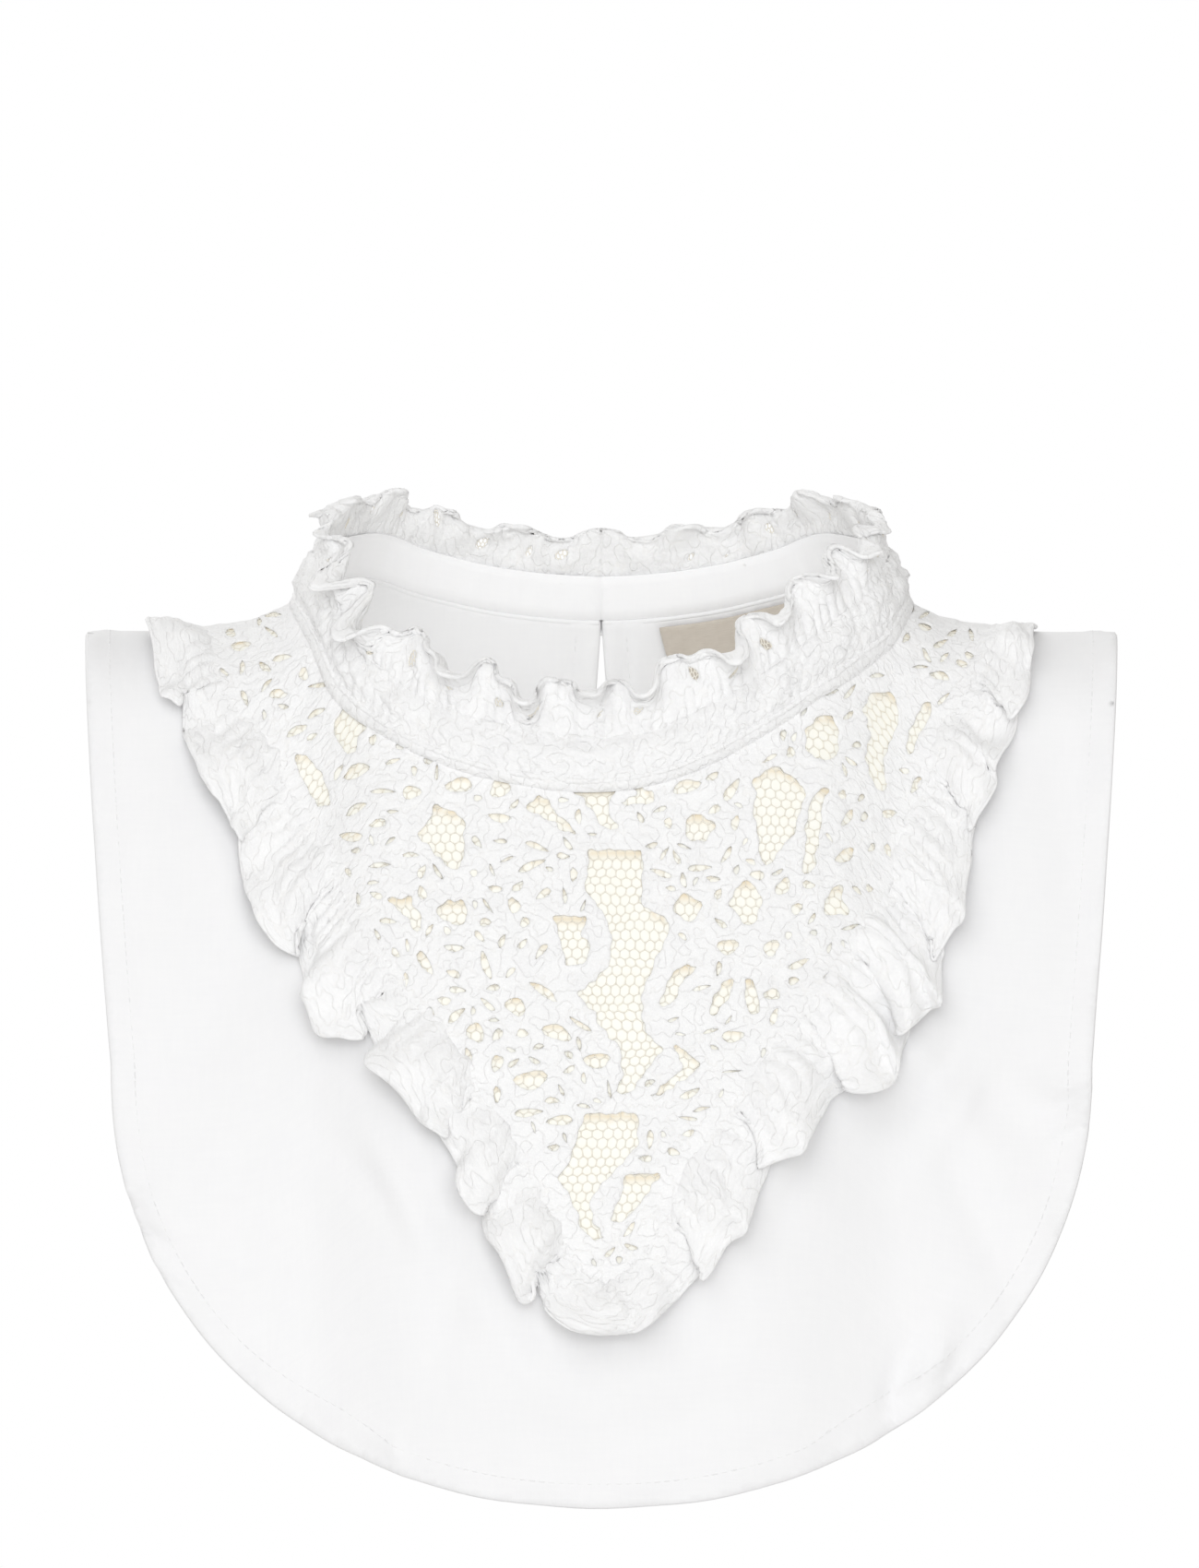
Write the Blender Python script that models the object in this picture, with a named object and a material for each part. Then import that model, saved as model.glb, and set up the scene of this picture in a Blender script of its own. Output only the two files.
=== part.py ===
# Detachable collar: a white poplin bib with a lace yoke, a gathered lace frill round the V
# and a frilled stand collar that closes at the back with a button and a thread loop.
# Metres, +Z up, the wearer faces -Y. The origin is on the axis of the neck, level with the
# points where the neck meets the shoulders. "depth" is the distance along the cloth from the
# shoulder ridge: positive down the front, negative down the back.

import math

import bmesh
import bpy
import numpy as np
from mathutils import Vector
from mathutils.geometry import delaunay_2d_cdt

# Cloth walls and the clearance between pieces at a seam
CLOTH = 0.0010
LACE = 0.0010
SEAM_GAP = 0.0003
LACE_LIFT = CLOTH + 0.0007
FRILL_LIFT = LACE_LIFT + LACE + SEAM_GAP

# Figure under the cloth: the shoulder ridge
NECK_HALF_WIDTH = 0.077
RIDGE_Y = 0.008
RIDGE_END_HEIGHT = -0.0099
RIDGE_RISE = 0.0222
RIDGE_RISE_FROM = 0.054
RIDGE_FALL = 0.0242
SHOULDER_SEAM = -0.005

# Figure under the cloth: roll over the shoulder, then the slope of chest and back.
# "inner" values are the change from the shoulder to the middle of the neck.
FRONT = dict(
    side=-1, ridge_shift=0.006, radius=0.040, radius_inner=0.006, rise_inner=0.0,
    slope=59.0, slope_outer=9.0, run=0.190, end_slope=-0.05,
)
BACK = dict(
    side=1, ridge_shift=0.017, radius=0.040, radius_inner=-0.008, rise_inner=0.006,
    slope=66.0, slope_outer=4.0, run=0.160, end_slope=-0.02,
)

# Neckline, from the middle of the back round by the wearer's right side, in millimetres
NECKLINE_COLUMNS = ("x", "depth")
NECKLINE = (
    (0, -43.0), (-20, -41.7), (-38, -38.4), (-54, -32.4), (-65, -21.3), (-72, -9.6),
    (-76.0, 0), (-77.0, 9), (-75.4, 20), (-71.5, 35), (-65.5, 54.2), (-54.2, 70.0),
    (-35.3, 80.3), (-14.2, 85.1), (0, 85.8), (12, 84.2), (25.4, 79.6), (41.5, 70.3),
    (52, 62.4), (60.7, 53.0), (71.4, 35), (75.6, 20), (77.0, 9), (76.0, 0),
    (72, -9.6), (65, -21.3), (54, -32.4), (38, -38.4), (20, -41.7),
)

# Bib outline seen from the front: tapering sides and a round hem
BIB_HALF_WIDTH = 0.1345
BIB_CORNER_HEIGHT = -0.0096
BIB_ARC_HEIGHT = -0.122
BIB_ARC_HALF_WIDTH = 0.127
BIB_ARC_POWER = 2.12
FRONT_HEM_HEIGHT = -0.2362
BACK_HEM_HEIGHT = -0.214
HEM_WIDTH = 0.0065
HEM_EXTRA = 0.0005

# Opening down the middle of the back
SLIT_LENGTH = 0.098
SLIT_TOP_HALF = 0.0006
SLIT_HALF_WIDTH = 0.0031

# Seam between yoke and bib seen from the front, a row for each height
YOKE_SEAM_COLUMNS = ("height", "left", "right")
YOKE_SHOULDER = (0.107, 0.104)
YOKE_SEAM = (
    (-0.024, 0.1000, 0.0965),
    (-0.038, 0.0890, 0.0890),
    (-0.055, 0.0795, 0.0830),
    (-0.073, 0.0705, 0.0765),
    (-0.096, 0.0570, 0.0640),
    (-0.116, 0.0410, 0.0480),
    (-0.139, 0.0260, 0.0300),
    (-0.161, 0.0145, 0.0175),
    (-0.177, 0.0050, 0.0075),
)
YOKE_TIP = (0.0012, -0.1825)

# Stand collar
BAND_HEIGHT = 0.0110
BAND_WALL = 0.0012
BAND_LEAN = math.radians(22)
BAND_CLEAR = 0.0007
CLOSURE_HALF_GAP = 0.0004

# Frill of the collar. Each fold is at a share of the way round, from the middle of the back
# by the wearer's right side, and gives the height of the whole collar there and how far its
# edge stands out, in millimetres. Round the back the folds are even.
NECK_FOLD_COLUMNS = ("share", "height", "out")
NECK_FOLDS = (
    (0.290, 21.0, -1.5), (0.309, 17.0, 4.2), (0.328, 22.0, -2.5), (0.347, 15.5, 4.6),
    (0.367, 21.0, 0.0), (0.384, 23.5, -3.0), (0.403, 22.5, 1.0), (0.421, 19.5, 4.0),
    (0.435, 25.5, -2.5), (0.450, 22.0, 1.0), (0.463, 17.5, 4.2), (0.474, 24.5, -1.5),
    (0.484, 24.0, -2.8), (0.497, 21.5, 3.4), (0.515, 24.5, -2.5), (0.530, 20.0, 3.8),
    (0.546, 26.5, -2.5), (0.565, 24.5, 1.0), (0.586, 20.5, 3.8), (0.602, 26.0, -2.5),
    (0.622, 22.5, 3.4), (0.645, 25.5, -2.0), (0.664, 22.5, 3.0), (0.681, 26.0, -2.0),
    (0.698, 20.5, 3.0), (0.718, 22.5, -1.5),
)
NECK_EVEN_FOLDS = 12
NECK_EVEN_HEIGHT = dict(back=23.0, side=19.8, change=1.2)
NECK_EVEN_OUT = 2.4

# Gathered frill round the V. Each fold ends at a share of the way from the shoulder to the
# tip, stands up by its lift and spreads by its reach
FRILL_WALL = 0.0010
FRILL_WIDTH = 0.0178
FRILL_TUCK = 0.0022
FRILL_LOW = 0.0027
FRILL_END = 0.0016
FRILL_SWING = 0.0042
FRILL_GATHER = 0.0009
FRILL_FOLD_COLUMNS = ("end", "lift", "reach")
LEFT_FOLDS = (
    (0.170, 0.0042, 0.92),
    (0.320, 0.0058, 1.06),
    (0.475, 0.0056, 1.02),
    (0.615, 0.0066, 0.92),
    (0.755, 0.0068, 0.98),
    (0.840, 0.0080, 0.90),
    (0.945, 0.0070, 1.08),
)
RIGHT_FOLDS = (
    (0.180, 0.0042, 0.90),
    (0.290, 0.0056, 1.02),
    (0.440, 0.0064, 1.06),
    (0.545, 0.0084, 1.18),
    (0.650, 0.0074, 1.20),
    (0.770, 0.0070, 1.10),
    (0.900, 0.0066, 1.12),
)

# Soft creases of the poplin seen from the front, a row for each: the middle, the two half
# lengths, how far it stands out (or in, if negative) and the turn of its long way
CREASE_COLUMNS = ("x", "height", "long", "wide", "out", "turn")
FRONT_CREASES = (
    (0.123, -0.055, 0.046, 0.0085, -0.0024, 2),
    (0.084, -0.122, 0.032, 0.0080, 0.0022, 38),
    (0.098, -0.162, 0.026, 0.0060, -0.0018, 24),
    (0.085, -0.199, 0.015, 0.0036, 0.0026, -22),
    (0.077, -0.205, 0.013, 0.0034, -0.0024, -14),
    (0.119, -0.135, 0.012, 0.0050, 0.0018, 60),
    (-0.038, -0.170, 0.030, 0.0060, -0.0020, -8),
    (-0.092, -0.094, 0.046, 0.0110, -0.0020, -30),
    (-0.112, -0.160, 0.022, 0.0070, 0.0018, 34),
    (-0.024, -0.204, 0.018, 0.0100, 0.0016, 82),
    (0.018, -0.214, 0.020, 0.0070, -0.0014, -76),
)
BACK_CREASES = (
    (-0.070, -0.085, 0.050, 0.0100, -0.0024, 12),
    (0.074, -0.105, 0.044, 0.0090, 0.0022, -16),
    (-0.100, -0.040, 0.030, 0.0080, 0.0016, 40),
    (0.102, -0.050, 0.036, 0.0080, -0.0018, -28),
    (-0.034, -0.160, 0.024, 0.0070, 0.0018, -20),
    (0.038, -0.150, 0.026, 0.0080, -0.0020, 24),
)

# Gaps of the lace seen from the front, in millimetres. Each gap is a run of levels, and each
# level gives its height and the gap's two sides
GAP_COLUMNS = ("height", "from_x", "to_x")
GAPS = (
    ((-67, -3.2, 10.3), (-74, -3.5, 11.0), (-77, -4.7, 10.3), (-81, -0.7, 10.3),
     (-85.6, 1.7, 18), (-91, 2.8, 16), (-97, 2.4, 13.4), (-100.4, -1.7, 12), (-104, -6.3, 10.7),
     (-109, -1.7, 10.3), (-114.6, 1.4, 12), (-118, 5.1, 16), (-125, 5.7, 10.7), (-129.6, 3, 7.6)),
    ((-50.8, -7.6, 3.9), (-53.8, -4.7, 2), (-57, -2.3, 1.4), (-61.3, 0.5, 4.8)),
    ((-134.8, -4.3, 9.2), (-142.3, -6.8, 9.8), (-148.5, -8.6, 4.3), (-151.5, -11.5, 1.3),
     (-157, -7.4, -3.4), (-163.2, -5.5, -1.8), (-167.2, -3.1, 1.4)),
    ((-150.4, 5.5, 15.2), (-154, 6.2, 12.6), (-158.3, 3.7, 10.2), (-162.6, 2.2, 5.5)),
    ((-55.4, -42.9, -41.2), (-59.2, -44.1, -35), (-62.9, -47.8, -35.8), (-65.9, -44.7, -35),
     (-72, -38.6, -36.7)),
    ((-64.6, -53, -49.2), (-69, -49.3, -43.5), (-72.2, -48.4, -40.9), (-77.4, -48.4, -43.5)),
    ((-79.3, -55.4, -49), (-83.8, -50.3, -46.6), (-87.8, -48.1, -46.7)),
    ((-80.2, -40.4, -35.5), (-83.2, -42.9, -34.6), (-86.2, -38.6, -34.9)),
    ((-84, -12.7, -3.9), (-88.7, -10.9, -5.3), (-91.5, -10.3, -2.4), (-96.7, -9.3, -4.7)),
    ((-53.4, -17.6, -14), (-56.4, -19.5, -12.7), (-59.8, -12.1, -9.1), (-62.8, -9.4, -6.4)),
    ((-45.4, 43.8, 45.4), (-49.2, 39.1, 50.8), (-52, 40, 53), (-57.5, 39.4, 51.2),
     (-63, 40.6, 49.8), (-66.7, 40.9, 45.8), (-70.5, 40.9, 43.4)),
    ((-51.2, 56.3, 59), (-55, 53.6, 57), (-61.8, 52.9, 56), (-68, 52.3, 55), (-72.8, 51.4, 54.8)),
    ((-58, 23.1, 26.8), (-60.6, 21.2, 29.5), (-64.5, 22.5, 27.4)),
    ((-78.2, 21.4, 23), (-81.2, 18.4, 26), (-85, 20.6, 24.3)),
    ((-75.2, 36.4, 39), (-80.6, 32.8, 42), (-86.6, 37.5, 38.7)),
    ((-76.2, 60, 61.6), (-80.3, 56.9, 61.6), (-83.8, 57, 63)),
    ((-96.8, 20.5, 25), (-101.2, 17.2, 20.9), (-106.8, 14.8, 18)),
    ((-100.2, 32.1, 34.5), (-104.3, 29.2, 32.9), (-109.6, 27.6, 29.2)),
    ((-100.2, 36.9, 38.9), (-104.3, 36.9, 40.3), (-109, 37.6, 41)),
    ((-117.4, 18.5, 20), (-122.1, 21.2, 25.7), (-124.6, 19.8, 23), (-130.5, 12.3, 14.8)),
    ((-49.2, 6.9, 8.6), (-52.3, 9.4, 13.6), (-55, 4.6, 14)),
    ((-32, 55.7, 59.5), (-35.5, 53, 60.7), (-40.8, 52.8, 61.2), (-43.4, 55.4, 59.2)),
    ((-26, 69.8, 75.5), (-31, 67.5, 77), (-37.2, 69.4, 75.4), (-43.3, 67.9, 72.3),
     (-51.6, 71, 73.4)),
    ((-32.4, -67.2, -62.6), (-36, -69, -61.9), (-40, -66.5, -62.4)),
)

# Eyes and slits of the motifs, in millimetres: the middle, the two half lengths, the turn
EYE_COLUMNS = ("x", "height", "long", "wide", "turn")
EYES = (
    (-36.7, -50.2, 3.1, 2.2, 0), (-26.2, -51, 3.0, 2.2, 10), (-16.8, -66, 2.9, 1.0, -20),
    (-18.2, -71, 3.4, 1.2, 20), (-29.8, -96.7, 3.3, 1.3, -72), (-14.9, -103.4, 4.4, 1.1, -32),
    (-22.1, -107.3, 2.6, 2.4, 0), (-11.5, -114, 3.5, 2.2, -25), (-1.2, -121.2, 3.8, 1.8, 0),
    (-18.2, -126.2, 3.9, 2.7, 0), (-19, -134.6, 3.6, 1.2, 0), (-10.6, -136.6, 3.0, 1.6, 8),
    (-32.4, -114, 2.8, 2.1, 90), (-37.4, -109.6, 2.6, 1.2, 35), (-26.9, -121.9, 2.6, 1.4, 75),
    (-45.4, -96, 3.8, 1.2, -60), (-63.1, -46.3, 3.6, 1.8, 15), (-69.8, -49.9, 2.6, 2.2, 0),
    (-63.1, -56.2, 3.0, 1.2, 25), (-49, -52, 2.2, 2.0, 0), (-64.3, -63.4, 3.4, 1.2, -5),
    (46.8, -76.4, 2.4, 1.8, 70), (32.6, -91.9, 2.5, 2.3, 0), (43.7, -92.2, 2.1, 2.1, 0),
    (43.9, -104.2, 2.1, 1.6, -20), (33.8, -115, 2.6, 1.8, 15), (22.8, -129.8, 3.0, 1.0, 30),
    (62.4, -68.4, 2.9, 1.6, 25), (63.2, -58.6, 2.4, 1.2, 50), (22, -50.6, 3.6, 1.8, 25),
    (33.6, -51.6, 3.0, 1.5, 60), (34.6, -60, 2.0, 1.2, 90), (32.4, -68.2, 2.2, 1.0, 55),
    (15.6, -73, 2.8, 1.0, -15), (25.2, -71.6, 3.0, 1.0, 0), (12.6, -141.4, 2.4, 1.0, 80),
    (50.6, -96.4, 2.8, 1.1, 20), (-38, -92.2, 2.6, 1.0, -10), (-26.3, -58.6, 3.3, 1.1, -12),
    (-57.4, -60, 2.4, 1.1, 5), (83, -38, 2.4, 1.1, 70), (81.6, -50, 2.4, 1.2, 50),
    (-79, -36, 2.8, 1.3, 35), (-84, -26.5, 2.6, 1.2, 10), (-94, -14.5, 2.6, 1.4, 0),
    (88, -22, 2.6, 1.2, -20),
)
GAP_RADIUS_POINTS = 6
WINDOW_MARGIN = 0.0010

# Label sewn into the neck seam on the inside of the back
LABEL = dict(middle=0.036, width=0.041, drop=0.0150, lean=0.004, below_seam=0.0016, clear=0.0010)

# Button and thread loop behind the closure
BUTTON_RADIUS = 0.0048
BUTTON_THICKNESS = 0.0026
BUTTON_SIDE = 0.0062
LOOP_WIRE = 0.00055

# Mesh spacings
PANEL_STEP = 0.0125
OUTLINE_STEP = 0.0062
YOKE_STEP = 0.0105
RING_STEP = 0.0056


def bell(offset):
    return np.exp(-offset * offset)


def clamped(value, low=0.0, high=1.0):
    return np.minimum(np.maximum(value, low), high)


def eased(value):
    share = clamped(value)
    return share * share * (3 - 2 * share)


def ridge_height(x):
    out = np.maximum(0.0, np.abs(x) - RIDGE_RISE_FROM)
    return RIDGE_END_HEIGHT + RIDGE_RISE * bell(out / RIDGE_FALL)


def figure(x, side):
    # Numbers of the section through the figure at x, for the front or the back
    inner = (1 - clamped(np.abs(x) / NECK_HALF_WIDTH) ** 4) ** 2
    radius = side["radius"] + side["radius_inner"] * inner
    outer = clamped(np.abs(x) / BIB_HALF_WIDTH) ** 2
    turn = np.radians(side["slope"] + side["slope_outer"] * outer)
    return dict(
        ridge_y=RIDGE_Y + side["side"] * side["ridge_shift"] * inner,
        ridge_z=ridge_height(x) + side["rise_inner"] * inner,
        radius=radius,
        turn=turn,
        slope=1 / np.tan(turn),
    )


def on_side(x, down, side):
    # y and z of the cloth at a distance down from the ridge, on the front or the back
    section = figure(x, side)
    rolled = section["radius"] * section["turn"]
    angle = np.minimum(down, rolled) / section["radius"]
    past = np.maximum(0.0, down - rolled)
    fall = (section["slope"] - side["end_slope"]) * past * past / (2 * side["run"])
    away = section["radius"] * np.sin(angle) + section["slope"] * past - fall
    y = section["ridge_y"] + side["side"] * away
    z = section["ridge_z"] - section["radius"] * (1 - np.cos(angle)) - past
    return y, z


def depth_at(x, z, side):
    # Distance down from the ridge at which the cloth is at height z
    section = figure(x, side)
    drop = np.maximum(0.0, section["ridge_z"] - z)
    roll_drop = section["radius"] * (1 - np.cos(section["turn"]))
    inside = clamped(1 - np.minimum(drop, roll_drop) / section["radius"], -1, 1)
    return section["radius"] * np.arccos(inside) + np.maximum(0.0, drop - roll_drop)


def bare_point(x, depth):
    front_y, front_z = on_side(x, np.maximum(depth, 0.0), FRONT)
    back_y, back_z = on_side(x, np.maximum(-depth, 0.0), BACK)
    on_front = depth >= 0
    y = np.where(on_front, front_y, back_y)
    z = np.where(on_front, front_z, back_z)
    return np.stack([x, y, z], axis=-1)


def bare_normal(x, depth):
    step = 0.0004
    across = bare_point(x + step, depth) - bare_point(x - step, depth)
    along = bare_point(x, depth + step) - bare_point(x, depth - step)
    normal = np.cross(along, across)
    return normal / np.linalg.norm(normal, axis=-1, keepdims=True)


def crease_height(x, depth):
    height = np.zeros_like(x)
    for table, side in ((FRONT_CREASES, FRONT), (BACK_CREASES, BACK)):
        for row in table:
            crease = dict(zip(CREASE_COLUMNS, row))
            middle = -side["side"] * depth_at(crease["x"], crease["height"], side)
            turn = math.radians(crease["turn"])
            dx, dd = x - crease["x"], depth - middle
            long_way = dd * math.cos(turn) + dx * math.sin(turn)
            wide_way = dx * math.cos(turn) - dd * math.sin(turn)
            shape = bell(long_way / crease["long"]) * bell(wide_way / crease["wide"])
            height += crease["out"] * shape
    return height


def cloth_point(x, depth, lift):
    # A point of the worn cloth, lifted off the figure along its normal
    x, depth = np.asarray(x, float), np.asarray(depth, float)
    away = np.asarray(lift, float) + crease_height(x, depth)
    return bare_point(x, depth) + bare_normal(x, depth) * away[..., None]


# Solids

def material(name, color, roughness):
    made = bpy.data.materials.new(name)
    made.use_nodes = True
    shader = made.node_tree.nodes["Principled BSDF"]
    shader.inputs["Base Color"].default_value = (*color, 1)
    shader.inputs["Roughness"].default_value = roughness
    shader.inputs["Metallic"].default_value = 0
    return made


def add_object(name, vertices, faces, finish):
    mesh = bpy.data.meshes.new(name)
    mesh.from_pydata([tuple(v) for v in vertices], [], [tuple(f) for f in faces])
    shaped = bmesh.new()
    shaped.from_mesh(mesh)
    bmesh.ops.recalc_face_normals(shaped, faces=shaped.faces)
    shaped.to_mesh(mesh)
    shaped.free()
    mesh.shade_smooth()
    mesh.set_sharp_from_angle(angle=math.radians(50))
    mesh.materials.append(finish)
    made = bpy.data.objects.new(name, mesh)
    bpy.context.scene.collection.objects.link(made)
    return made


def wall(name, outer, inner, faces, finish):
    # A closed wall between an outer and an inner skin with the same faces
    count = len(outer)
    closed = [tuple(face) for face in faces]
    closed += [tuple(v + count for v in reversed(face)) for face in faces]
    uses = {}
    for face in faces:
        for a, b in zip(face, [*face[1:], face[0]]):
            uses.setdefault(frozenset((a, b)), []).append((a, b))
    for found in uses.values():
        if len(found) == 1:
            a, b = found[0]
            closed.append((b, a, a + count, b + count))
    return add_object(name, [*outer, *inner], closed, finish)


def grid_faces(rows, columns):
    faces = []
    for i in range(rows - 1):
        for j in range(columns - 1):
            corner = i * columns + j
            faces.append((corner, corner + 1, corner + columns + 1, corner + columns))
    return faces


def spaced(points, step):
    # The line again with points about one step apart, its ends kept
    points = np.asarray(points, float)
    along = np.concatenate([[0], np.cumsum(np.linalg.norm(np.diff(points, axis=0), axis=1))])
    count = max(2, int(round(along[-1] / step)) + 1)
    at = np.linspace(0, along[-1], count)
    return np.stack([np.interp(at, along, points[:, k]) for k in (0, 1)], axis=1)


def filled(loop, step):
    # A closed line with points added wherever two are further apart than a step
    whole = []
    for a, b in zip(loop, np.roll(loop, -1, axis=0)):
        parts = max(1, int(np.ceil(np.linalg.norm(b - a) / step - 0.5)))
        whole += [a + (b - a) * k / parts for k in range(parts)]
    return np.array(whole)


def inside(points, loop):
    x, y = points[:, 0:1], points[:, 1:2]
    ax, ay = loop[:, 0], loop[:, 1]
    bx, by = np.roll(ax, -1), np.roll(ay, -1)
    spans = (ay > y) != (by > y)
    rise = np.where(by == ay, 1.0, by - ay)
    crossing = ax + (y - ay) * (bx - ax) / rise
    return (spans & (x < crossing)).sum(axis=1) % 2 == 1


def nearest(points, loop):
    # Distance of each point from a closed line
    a, b = loop, np.roll(loop, -1, axis=0)
    span = b - a
    size = np.maximum((span * span).sum(axis=1), 1e-18)
    best = np.full(len(points), np.inf)
    for start, way, square in zip(a, span, size):
        share = clamped(((points - start) @ way) / square)
        gap = points - start - share[:, None] * way
        best = np.minimum(best, np.hypot(gap[:, 0], gap[:, 1]))
    return best


def stations(low, high, step, close_range, close):
    # Places along one direction, closer together where the figure turns most
    places = [low + step / 2]
    while places[-1] < high:
        turning = close_range[0] <= abs(places[-1]) <= close_range[1]
        places.append(places[-1] + step * (close if turning else 1.12))
    return np.array(places[:-1])


def panel(name, outline, windows, step, lift, thickness, finish):
    # A flat-cut piece with windows, laid on the worn cloth
    outline = filled(outline, OUTLINE_STEP)
    loops = [outline, *windows]
    low, high = outline.min(axis=0), outline.max(axis=0)
    columns = stations(low[0], high[0], step, (0.070, 0.104), 0.62)
    rows = stations(low[1], high[1], step, (0.0, 0.062), 0.72)
    grid = np.array([(x + (k % 2) * step / 2, d) for k, d in enumerate(rows) for x in columns])
    kept = inside(grid, outline) & (nearest(grid, outline) > step * 0.45)
    for window in windows:
        kept &= ~inside(grid, window) & (nearest(grid, window) > step * 0.28)
    points, edges = [], []
    for loop in loops:
        start, count = len(points), len(loop)
        points += [Vector(p) for p in loop]
        edges += [(start + k, start + (k + 1) % count) for k in range(count)]
    points += [Vector(p) for p in grid[kept]]
    found = delaunay_2d_cdt(points, edges, [], 0, 1e-7)
    flat = np.array([tuple(v) for v in found[0]])
    faces = np.array([tuple(f) for f in found[2] if len(f) == 3])
    middle = flat[faces].mean(axis=1)
    wanted = inside(middle, outline)
    for window in windows:
        wanted &= ~inside(middle, window)
    faces = faces[wanted]
    used, packed = np.unique(faces, return_inverse=True)
    flat, faces = flat[used], packed.reshape(-1, 3)
    x, depth = flat[:, 0], flat[:, 1]
    inner = cloth_point(x, depth, np.full(len(x), lift))
    outer = cloth_point(x, depth, lift + thickness(flat))
    return wall(name, outer, inner, faces.tolist(), finish)


# Outlines in the plane of x and depth

def smooth_ring(knots, steps):
    # Closed Catmull-Rom curve through the knots
    wrapped = np.concatenate([knots[-1:], knots, knots[:2]])
    return smooth_line(wrapped, steps)[steps:-steps]


def smooth_line(knots, steps):
    # Catmull-Rom curve through the knots
    ends = np.concatenate([[2 * knots[0] - knots[1]], knots, [2 * knots[-1] - knots[-2]]])
    share = np.linspace(0, 1, steps, endpoint=False)[:, None]
    curve = []
    for a, b, c, d in zip(ends[:-3], ends[1:-2], ends[2:-1], ends[3:]):
        curve.append(0.5 * (
            2 * b + (c - a) * share + (2 * a - 5 * b + 4 * c - d) * share ** 2
            + (3 * b - a - 3 * c + d) * share ** 3
        ))
    return np.concatenate([*curve, knots[-1:]])


def neckline():
    # x and depth round the neck, from the middle of the back and back to it
    return smooth_ring(np.array(NECKLINE) / 1000, 40)


def neck_half(front):
    # Neckline of the front or back piece, from -x to +x, ending at the shoulder seam
    line = neckline()
    near = SHOULDER_SEAM + (SEAM_GAP / 2 if front else -SEAM_GAP / 2)
    if front:
        line = line[line[:, 1] > near]
    else:
        low = line[line[:, 1] < near]
        line = np.concatenate([low[low[:, 0] < 0][::-1][::-1], low[low[:, 0] >= 0]])
        line = line[np.argsort(line[:, 0])]
    ends = [[np.interp(near, *shoulder_crossing(sign)), near] for sign in (-1, 1)]
    return np.concatenate([ends[:1], line, ends[1:]])


def shoulder_crossing(sign):
    # depth and x of the neckline near the shoulder on one side
    line = neckline()
    part = line[(sign * line[:, 0] > 0.07) & (line[:, 1] < 0.006) & (line[:, 1] > -0.02)]
    part = part[np.argsort(part[:, 1])]
    return part[:, 1], part[:, 0]


def bib_edge(hem_height, side):
    # One side and half the hem, from the shoulder seam to the middle of the hem
    straight = np.linspace(BIB_CORNER_HEIGHT, BIB_ARC_HEIGHT, 40)
    share = (BIB_CORNER_HEIGHT - straight) / (BIB_CORNER_HEIGHT - BIB_ARC_HEIGHT)
    side_x = BIB_HALF_WIDTH + (BIB_ARC_HALF_WIDTH - BIB_HALF_WIDTH) * share ** 1.3
    turn = np.linspace(0, math.pi / 2, 60)[1:]
    arc_x = BIB_ARC_HALF_WIDTH * np.cos(turn) ** (2 / BIB_ARC_POWER)
    arc_z = BIB_ARC_HEIGHT + (hem_height - BIB_ARC_HEIGHT) * np.sin(turn) ** (2 / BIB_ARC_POWER)
    x = np.concatenate([side_x, np.maximum(arc_x, 0)])
    z = np.concatenate([straight, arc_z])
    down = depth_at(x, z, side)
    return np.stack([x, down], axis=1)


def mirrored(line):
    return np.stack([-line[:, 0], line[:, 1]], axis=1)


def front_depth(x, height):
    return depth_at(np.asarray(x, float), np.asarray(height, float), FRONT)


def yoke_seam_line(side_name):
    # Seam of the yoke on one side, from the shoulder to the tip
    rows = [dict(zip(YOKE_SEAM_COLUMNS, row)) for row in YOKE_SEAM]
    sign = -1 if side_name == "left" else 1
    shoulder = YOKE_SHOULDER[0 if side_name == "left" else 1]
    knots = [(sign * shoulder, SHOULDER_SEAM)]
    knots += [(sign * row[side_name], front_depth(row[side_name], row["height"])) for row in rows]
    knots.append((YOKE_TIP[0], front_depth(*YOKE_TIP)))
    return smooth_line(np.array(knots), 12)


def yoke_seam(offset):
    # The whole seam round the V, moved towards the middle by an offset
    left = yoke_seam_line("left")
    right = yoke_seam_line("right")[::-1]
    seam = spaced(np.concatenate([left, right[1:]]), OUTLINE_STEP)
    seam = offset_line(seam, offset)
    seam[0, 1] = seam[-1, 1] = SHOULDER_SEAM + SEAM_GAP / 2
    return seam


def yoke_outline():
    upper = spaced(neck_half(True), OUTLINE_STEP)[::-1]
    return np.concatenate([yoke_seam(SEAM_GAP / 2), upper])


def offset_line(line, distance):
    # The line moved sideways, to the left of its direction if the distance is positive
    way = np.gradient(line, axis=0)
    way /= np.linalg.norm(way, axis=1, keepdims=True)
    return line + distance * np.stack([way[:, 1], -way[:, 0]], axis=1)


def front_outline():
    # The bib with the yoke cut out of it
    edge = bib_edge(FRONT_HEM_HEIGHT, FRONT)
    edge = np.concatenate([[[edge[0, 0], SHOULDER_SEAM + SEAM_GAP / 2]], edge])
    left_edge = mirrored(edge)
    hem = spaced(np.concatenate([left_edge, edge[::-1][1:]]), OUTLINE_STEP)
    return np.concatenate([hem, yoke_seam(-SEAM_GAP / 2)[::-1]])


def slit_side():
    # The wearer's left edge of the back opening, from the neckline down to its end
    down = np.linspace(0, 1, 26)
    half = SLIT_TOP_HALF + (SLIT_HALF_WIDTH - SLIT_TOP_HALF) * np.sin(math.pi * down) ** 1.1
    half[-1] = SEAM_GAP / 2
    top = -NECKLINE[0][1] / 1000
    return np.stack([half, -(top + SLIT_LENGTH * down)], axis=1)


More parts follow.
